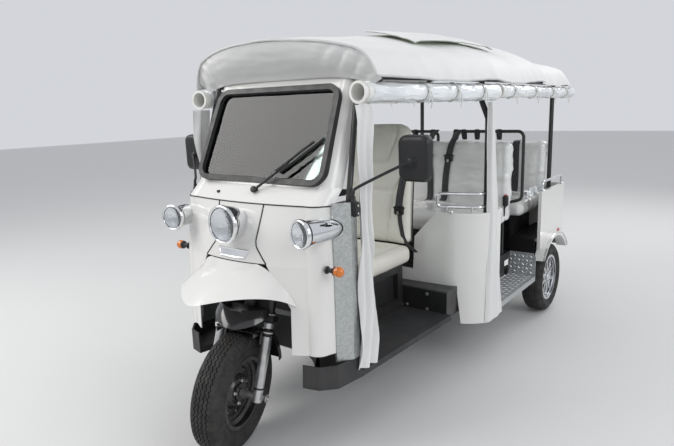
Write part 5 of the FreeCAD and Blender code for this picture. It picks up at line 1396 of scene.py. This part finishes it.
def make_mirrors():
    """Rounded mirror housings with a ribbed ball seat, bent arms, brackets and the glass."""
    x, y, z = MIRROR_PLACE

    def outline_at(depth, scale):
        line = round_line((MIRROR_HALF[0] * scale, MIRROR_HALF[1] * scale), 0.034 * scale)
        return [at(x + a * min(1.0, 1.0 + 0.055 * b / MIRROR_HALF[1]), y + depth, z + b) for a, b in line]

    housing = loft([outline_at(*row) for row in HOUSING])
    seat = turned([(-0.002, 0.030), (0.0015, 0.029), (0.002, 0.024), (0.0045, 0.023), (0.005, 0.017),
                   (0.0085, 0.016), (0.011, 0.011), (0.012, 0.0)], at(x - 0.008, y - 0.008, z - 0.014),
                  FORWARD, 40)
    ribs = [box_at((x - 0.060, y - 0.0072, z + low), (x + 0.060, y - 0.0048, z + low + 0.002), 0.0009, 1)
            for low in (0.062, 0.053)]
    arm = ((0.508, 0.310, 1.150), (0.508, 0.310, 1.196), (0.524, 0.330, 1.222),
           (x - 0.030, y - 0.034, z - 0.022), (x - 0.012, y - 0.024, z - 0.016),
           (x - 0.008, y - 0.014, z - 0.014))
    bar = sweep(smooth_path(all_at(arm), 8), circle(0.0066, 14))
    foot = box_at((0.4995, 0.303, 1.093), (0.5205, 0.341, 1.157), 0.0045)
    collar = turned([(0.0, 0.0120), (0.012, 0.0120), (0.016, 0.0095), (0.030, 0.0088)],
                    at(0.508, 0.310, 1.152), Z_AXIS, 28)
    shell = add_piece("mirror_housings", [housing, seat, bar, foot, collar] + ribs, "plastic", 42, both=True)
    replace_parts(shell, "mirrors")
    glass = loft([outline_at(0.0312, 0.947), outline_at(0.0322, 0.947)])
    add_piece("mirror_glass", [glass], "mirror", 30, both=True)
    bolts = [turned([(0, 0.0052), (0.0035, 0.0052), (0.0045, 0.0035)], at(0.5206, 0.322, height), X_AXIS, 6)
             for height in (1.107, 1.141)]
    add_piece("mirror_bracket_bolts", bolts, "bolt", 30, both=True)


def make_wiper():
    """Rubber blade and spine of the wiper, its arm cap and the washer jet."""
    glass = skin_tree("windscreen_glass")
    line, spine = [], []
    for t in (k / 16 for k in range(17)):
        hit = onto(glass, at(0.140 + 0.210 * t, -0.6, 1.270 + 0.150 * t), Y_AXIS)
        if hit is not None:
            line.append(hit + Vector((0, -0.0045, 0.001)))
            spine.append(hit + Vector((0, -0.0120 - 0.004 * math.sin(math.pi * t), 0.004)))
    blade = sweep(line, [(-0.0016, -0.005), (0.0016, -0.005), (0.0028, 0.004), (-0.0028, 0.004)], up=FORWARD)
    back = sweep(spine, band(0.007, 0.003), up=FORWARD)
    cap = turned([(-0.004, 0.0150), (0.006, 0.0150), (0.011, 0.0110), (0.012, 0.0)], at(0.040, 0.190, 1.200),
                 Vector((0, -0.93, 0.37)), 28)
    add_piece("wiper_blade", [blade, back, cap], "rubber")
    panels = skin_tree("front_panel", "front_side_panels", "windscreen_surround")
    foot = onto(panels, at(-0.192, -0.6, 1.176), Y_AXIS, -0.001)
    if foot is not None:
        jet = turned([(0, 0.0085), (0.004, 0.0085), (0.007, 0.0062), (0.012, 0.0050), (0.013, 0.0)], foot,
                     Vector((0, -0.9, 0.43)), 20)
        add_piece("washer_jet", [jet], "rubber")


def make_controls():
    """Levers and switch blocks of the handlebar."""
    verts = [v.co for v in NODES["fork_frame"].data.vertices if v.co.z > DATUM.z + 0.95]
    blocks, levers = [], []
    for sign in (1, -1):
        end = max(verts, key=lambda p, sign=sign: p.x * sign)
        inward = Vector((-sign * 0.90, -0.33, -0.10)).normalized()
        foot = end + inward * 0.155
        lever = [foot + FORWARD * a + inward * b for a, b in
                 ((0.020, 0), (0.040, -0.020), (0.052, -0.070), (0.046, -0.125), (0.052, -0.150))]
        levers.append(sweep(smooth_path(lever, 6), band(0.013, 0.006)))
        blocks.append(rounded_box(foot + Vector((-0.020, -0.030, -0.016)),
                                  foot + Vector((0.020, 0.014, 0.018)), 0.006, 2))
    add_piece("handlebar_switches", blocks, "plastic", body="steering")
    add_piece("handlebar_levers", levers, "fork", body="steering", slot="chrome_trim")


FORK_LEG = 0.122
# Rings of a fork leg: height over the axle, radius, half of its height and look
FORK_RINGS = ((0.283, 0.0250, 0.0040, "rubber"), (0.292, 0.0235, 0.0032, "pipe"),
              (0.301, 0.0250, 0.0040, "rubber"), (0.325, 0.0240, 0.0130, "fork"),
              (0.346, 0.0235, 0.0040, "rubber"), (0.356, 0.0225, 0.0034, "pipe"),
              (0.366, 0.0235, 0.0040, "rubber"), (0.376, 0.0220, 0.0030, "pipe"),
              (0.385, 0.0230, 0.0036, "rubber"))


def make_fork_trim():
    """Dust seals and collars on the fork legs, and the axle nuts."""
    up = STEER_AXIS if STEER_AXIS.z > 0 else -STEER_AXIS
    rings = {"rubber": [], "pipe": [], "fork": []}
    for sign in (1, -1):
        leg = FRONT_HUB + FRONT_AXLE * (sign * FORK_LEG)
        for height, radius, half, look in FORK_RINGS:
            profile = [(-half, 0.0172), (-half, radius - 0.0015), (-half + 0.0015, radius),
                       (half - 0.0015, radius), (half, radius - 0.0015), (half, 0.0172)]
            rings[look].append(turned(profile, leg + up * height, up, 36, closed=True))
        out = FRONT_AXLE * sign
        nut = leg + out * 0.0365
        rings["fork"].append(turned([(0, 0.0175), (0.002, 0.019), (0.012, 0.019), (0.014, 0.0165),
                                     (0.0145, 0.0)], nut, out, 6))
        rings["fork"].append(turned([(0, 0.0085), (0.020, 0.0085), (0.022, 0.0065), (0.0222, 0.0)], nut, out,
                                    20))
        rings["rubber"].append(turned([(-0.003, 0.0235), (-0.001, 0.0242), (0.004, 0.0242), (0.006, 0.0235)],
                                      leg + up * 0.035, up, 36))
    for name, look in (("dust_seals", "rubber"), ("pale_rings", "pipe"), ("collars", "fork")):
        add_piece("fork_" + name, rings[look], look, body="steering")


# Black welts of the nose panels and the bare badge, thrown onto the skin from in front
WELT_LINE = ((0.190, 0.893), (0.158, 0.930), (0.126, 0.975), (0.130, 1.040), (0.136, 1.090), (0.1415, 1.1425))
SEAM_HEIGHT = 1.1452
SEAM_HALF = 0.443
SEAM_STEPS = 60


def make_welts():
    """Black welts between the nose panels and round the middle panel."""
    tree = skin_tree("front_panel", "front_side_panels", "windscreen_surround", "nose_fender")
    fine = smooth_path([Vector((x, 0, z)) for x, z in WELT_LINE], 6)
    lines = [[(p.x * sign, p.z) for p in fine] for sign in (1, -1)]
    lines.append([(SEAM_HALF * (-1 + 2 * k / SEAM_STEPS), SEAM_HEIGHT) for k in range(SEAM_STEPS + 1)])
    parts = []
    for line in lines:
        hits = [onto(tree, at(x, -0.7, z), Y_AXIS) for x, z in line]
        parts.append(sweep([hit for hit in hits if hit is not None], circle(trim_sizes().seam, 8)))
    add_piece("panel_welts", parts, "rubber", 60)


def make_badge():
    """Bare chrome badge with a raised rim, under the middle lamp."""
    tree = skin_tree("front_panel", "front_side_panels", "nose_fender")

    def place(t, s):
        u = -1 + 2 * s
        half = 0.074 + 0.026 * t
        inset = min((1 - abs(u)) * half, (1 - abs(2 * t - 1)) * 0.022)
        rim = math.exp(-((inset - 0.0036) / 0.0022) ** 2)
        crown = 0.0030 * min(1.0, inset / 0.006) + 0.0016 * math.cos(math.pi * u / 2)
        return onto(tree, at(u * half, -0.7, 0.902 + 0.044 * t), Y_AXIS, 0.0006 + crown + 0.0040 * rim)

    grid = point_grid(21, 61, place)
    if all(p is not None for row in grid for p in row):
        cloth_sheet("nose_badge", grid, "chrome", 0.0012, sharp=30)


# Small parts of the body
BOX_BOLTS = ((0.035, 0.444), (0.130, 0.517), (0.157, 0.413), (0.374, 0.470), (0.205, 0.378), (0.240, 0.384),
             (0.156, 0.323), (0.374, 0.378))
STEP_TOP = 0.3352
STEP_X = (0.468, 0.642)
STEP_Y = (1.650, 2.328)
RISER_ROWS = 5


def make_bolts():
    """Bolt heads with washers on the battery box."""
    size = trim_sizes().bolt
    parts = []
    for x, z in BOX_BOLTS:
        for sign in (1, -1):
            foot = at(x * sign, 1.2219, z)
            parts.append(turned([(0, size * 1.35), (0.0015, size * 1.35)], foot, FORWARD, 20))
            parts.append(turned([(0.0012, size), (0.006, size), (0.0072, size * 0.7)], foot, FORWARD, 6))
    add_piece("battery_box_bolts", parts, "bolt", 30)


def tread_diamond(centre, turn, size, up):
    """Low raised lozenge of checkered plate, turned to one side or the other."""
    angle = math.radians(38 * turn)
    second = up.cross(X_AXIS)
    ahead = spoke(X_AXIS, second, angle)
    side = second * math.cos(angle) - X_AXIS * math.sin(angle)
    ring = [ahead * (size / 2), side * (size * 0.17), ahead * (-size / 2), side * (-size * 0.17)]
    verts = [centre + p for p in ring] + [centre + p * 0.62 + up * 0.0020 for p in ring]
    return verts, [(0, 1, 5, 4), (1, 2, 6, 5), (2, 3, 7, 6), (3, 0, 4, 7), (4, 5, 6, 7)]


def make_steps():
    """Raised lozenges on the steps and on the riser behind them, far lighter than the plate as painted
    highlight.
    """
    size = trim_sizes().diamond
    pitch = size * 1.08
    across = int((STEP_X[1] - STEP_X[0]) / pitch) + 1
    ahead = int((STEP_Y[1] - STEP_Y[0]) / pitch) + 1
    parts = [tread_diamond(at(STEP_X[0] + i * pitch, STEP_Y[0] + j * pitch, STEP_TOP),
                           1 if (i + j) % 2 == 0 else -1, size, Z_AXIS)
             for i in range(across) for j in range(ahead)]
    tree = skin_tree("steps_and_houses")
    for i in range(across):
        for j in range(RISER_ROWS):
            hit = onto(tree, at(STEP_X[0] + i * pitch, 2.0, STEP_TOP + 0.022 + j * pitch), Y_AXIS)
            if hit is not None and hit.y - DATUM.y > STEP_Y[1]:
                parts.append(tread_diamond(hit, 1 if (i + j) % 2 == 0 else -1, size, FORWARD))
    add_piece("step_lozenges", parts, "tread", 20, both=True)


# Bars of the tail lamps' frames and dividers, as their low and high corners
LAMP_BARS = (((0.448, 2.9575, 0.735), (0.617, 2.966, 0.7435)),
             ((0.448, 2.9575, 0.8045), (0.617, 2.966, 0.813)),
             ((0.448, 2.9575, 0.735), (0.4565, 2.966, 0.813)),
             ((0.6085, 2.9575, 0.735), (0.617, 2.966, 0.813)),
             ((0.506, 2.9880, 0.744), (0.5085, 2.9925, 0.804)),
             ((0.556, 2.9880, 0.744), (0.5585, 2.9925, 0.804)))


def make_tail():
    """Side reflectors, tail lamp frames and dividers, and the blank rear plate."""
    reflector = turned([(0, 0.0190), (0.004, 0.0190), (0.0065, 0.0170), (0.0072, 0.0)],
                       at(0.6552, 2.830, 0.580), X_AXIS, 28)
    add_piece("side_reflectors", [reflector], "red", both=True)
    bars = [box_at(low, high, 0.0012, 1) for low, high in LAMP_BARS]
    add_piece("tail_lamp_frames", bars, "chrome", both=True)
    plate = box_at((-0.170, 2.9575, 0.640), (0.170, 2.9605, 0.760), 0.0014, 2)
    add_piece("rear_number_plate", [plate], "plate", 30)
    screws = [turned([(0, 0.006), (0.002, 0.006), (0.003, 0.004)], at(x, 2.9606, 0.700), Y_AXIS, 16)
              for x in (-0.150, 0.150)]
    add_piece("rear_plate_screws", screws, "bolt", 30)


def make_rail_feet():
    """Round flanges under the grab rails' posts."""
    tree = skin_tree("bulkhead_panels", "rear_side_panels")
    parts = []
    for x, y in ((0.459, 1.358), (0.589, 1.400), (0.644, 2.440), (0.644, 2.895)):
        hit = onto(tree, at(x, y, 1.05), -Z_AXIS, 0.0004)
        if hit is not None and hit.z - DATUM.z > 0.85:
            parts.append(turned([(0, 0.0175), (0.003, 0.0175), (0.006, 0.0130), (0.012, 0.0110),
                                 (0.012, 0.0)], hit, Z_AXIS, 28))
    if parts:
        add_piece("rail_flanges", parts, "chrome", both=True)


ARCH_LIP_R = 0.351


def make_arch_lips():
    """Bright rolled edge round each rear wheel arch, down to the step."""
    line = []
    for angle in (math.radians(-4 + 188 * k / 40) for k in range(41)):
        z = REAR_TYRE_R + ARCH_LIP_R * math.sin(angle)
        if z > 0.45:
            line.append(at(0.7025, REAR_AXLE_STATION + ARCH_LIP_R * math.cos(angle), z))
    lip = [(-0.0012, -0.007), (0.0016, -0.007), (0.0024, 0.0), (0.0016, 0.006), (-0.0012, 0.006)]
    strip = sweep(line, lip, up=X_AXIS)
    add_piece("wheel_arch_lips", [strip], "chrome", both=True)


# Operators: each runs the functions of its piece or group
class Steps:
    """What every operator does: it runs its steps in order."""
    steps = ()

    def execute(self, context):
        for step in self.steps:
            step()
        return {"FINISHED"}


class RICKSHAW_OT_stage(Steps, bpy.types.Operator):
    """Sets up the camera, floor and lights"""
    bl_idname = "rickshaw.stage"
    bl_label = "Studio stage"
    steps = (set_stage,)


class RICKSHAW_OT_frame(Steps, bpy.types.Operator):
    """Makes the finishes and gives them to the CAD pieces"""
    bl_idname = "rickshaw.frame"
    bl_label = "Frame finishes"
    steps = (dress_frame,)


class RICKSHAW_OT_wheels(Steps, bpy.types.Operator):
    """Adds the tyres with their tread and the small parts of the wheels"""
    bl_idname = "rickshaw.wheels"
    bl_label = "Wheels"
    steps = (make_wheels,)


class RICKSHAW_OT_canvas(Steps, bpy.types.Operator):
    """Adds the roof canvas, its flap, the visor and the hanging strips"""
    bl_idname = "rickshaw.canvas"
    bl_label = "Canvas"
    steps = (make_roof, make_flap, make_visor, make_strips)


class RICKSHAW_OT_curtains(Steps, bpy.types.Operator):
    """Adds the rolled side curtains with their ties"""
    bl_idname = "rickshaw.curtains"
    bl_label = "Rolled curtains"
    steps = (make_curtains,)


class RICKSHAW_OT_seats(Steps, bpy.types.Operator):
    """Adds the cream driver's seat and the film-wrapped benches"""
    bl_idname = "rickshaw.seats"
    bl_label = "Seats"
    steps = (driver_seat, benches, crumpled_film)


class RICKSHAW_OT_belts(Steps, bpy.types.Operator):
    """Adds the seat belts with their adjusters and buckle"""
    bl_idname = "rickshaw.belts"
    bl_label = "Seat belts"
    steps = (make_belts,)


class RICKSHAW_OT_lamps(Steps, bpy.types.Operator):
    """Adds the parts of the headlamps, turn signals and tail lamps"""
    bl_idname = "rickshaw.lamps"
    bl_label = "Lamps"
    steps = (make_lamps, make_signals, make_tail)


class RICKSHAW_OT_mirrors(Steps, bpy.types.Operator):
    """Adds the mirror housings with their arms and glass"""
    bl_idname = "rickshaw.mirrors"
    bl_label = "Mirrors"
    steps = (make_mirrors,)


class RICKSHAW_OT_wiper(Steps, bpy.types.Operator):
    """Adds the wiper blade and the washer jet"""
    bl_idname = "rickshaw.wiper"
    bl_label = "Wiper"
    steps = (make_wiper,)


class RICKSHAW_OT_steering(Steps, bpy.types.Operator):
    """Adds the levers of the handlebar and the rings of the fork"""
    bl_idname = "rickshaw.steering"
    bl_label = "Fork and handlebar"
    steps = (make_controls, make_fork_trim)


class RICKSHAW_OT_nose(Steps, bpy.types.Operator):
    """Adds the black welts and the bare badge of the nose"""
    bl_idname = "rickshaw.nose"
    bl_label = "Nose trim"
    steps = (make_welts, make_badge)


class RICKSHAW_OT_body(Steps, bpy.types.Operator):
    """Adds bolts, step lozenges and rail flanges to the body"""
    bl_idname = "rickshaw.body"
    bl_label = "Body trim"
    steps = (make_bolts, make_steps, make_rail_feet, make_arch_lips)


OPERATORS = (RICKSHAW_OT_stage, RICKSHAW_OT_frame, RICKSHAW_OT_wheels, RICKSHAW_OT_steering,
             RICKSHAW_OT_seats, RICKSHAW_OT_belts, RICKSHAW_OT_nose, RICKSHAW_OT_lamps,
             RICKSHAW_OT_mirrors, RICKSHAW_OT_wiper, RICKSHAW_OT_body, RICKSHAW_OT_canvas,
             RICKSHAW_OT_curtains)


class RICKSHAW_PT_sidebar(bpy.types.Panel):
    """Lists the vehicle's settings and pieces"""
    bl_idname = "RICKSHAW_PT_sidebar"
    bl_label = "Rickshaw"
    bl_space_type = "VIEW_3D"
    bl_region_type = "UI"
    bl_category = "Rickshaw"

    def draw(self, context):
        for group in SETTINGS:
            settings = getattr(context.scene, group)
            box = self.layout.box()
            for key in settings.bl_rna.properties.keys():
                if key not in ("rna_type", "name"):
                    box.prop(settings, key)
        for operator in OPERATORS:
            self.layout.operator(operator.bl_idname)


SETTINGS = {"rickshaw_colours": RickshawColours, "rickshaw_sizes": RickshawSizes,
            "rickshaw_view": RickshawView}


def register():
    """Registers the settings, operators and panel."""
    for group in SETTINGS.values():
        bpy.utils.register_class(group)
    for name, group in SETTINGS.items():
        setattr(bpy.types.Scene, name, PointerProperty(type=group))
    for operator in OPERATORS:
        bpy.utils.register_class(operator)
    bpy.utils.register_class(RICKSHAW_PT_sidebar)


def unregister():
    """Removes the panel, operators and settings."""
    bpy.utils.unregister_class(RICKSHAW_PT_sidebar)
    for operator in reversed(OPERATORS):
        bpy.utils.unregister_class(operator)
    for name in SETTINGS:
        delattr(bpy.types.Scene, name)
    for group in reversed(list(SETTINGS.values())):
        bpy.utils.unregister_class(group)


def main():
    register()
    for operator in OPERATORS:
        family, name = operator.bl_idname.split(".")
        getattr(getattr(bpy.ops, family), name)()
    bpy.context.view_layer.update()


if __name__ == "__main__":
    main()
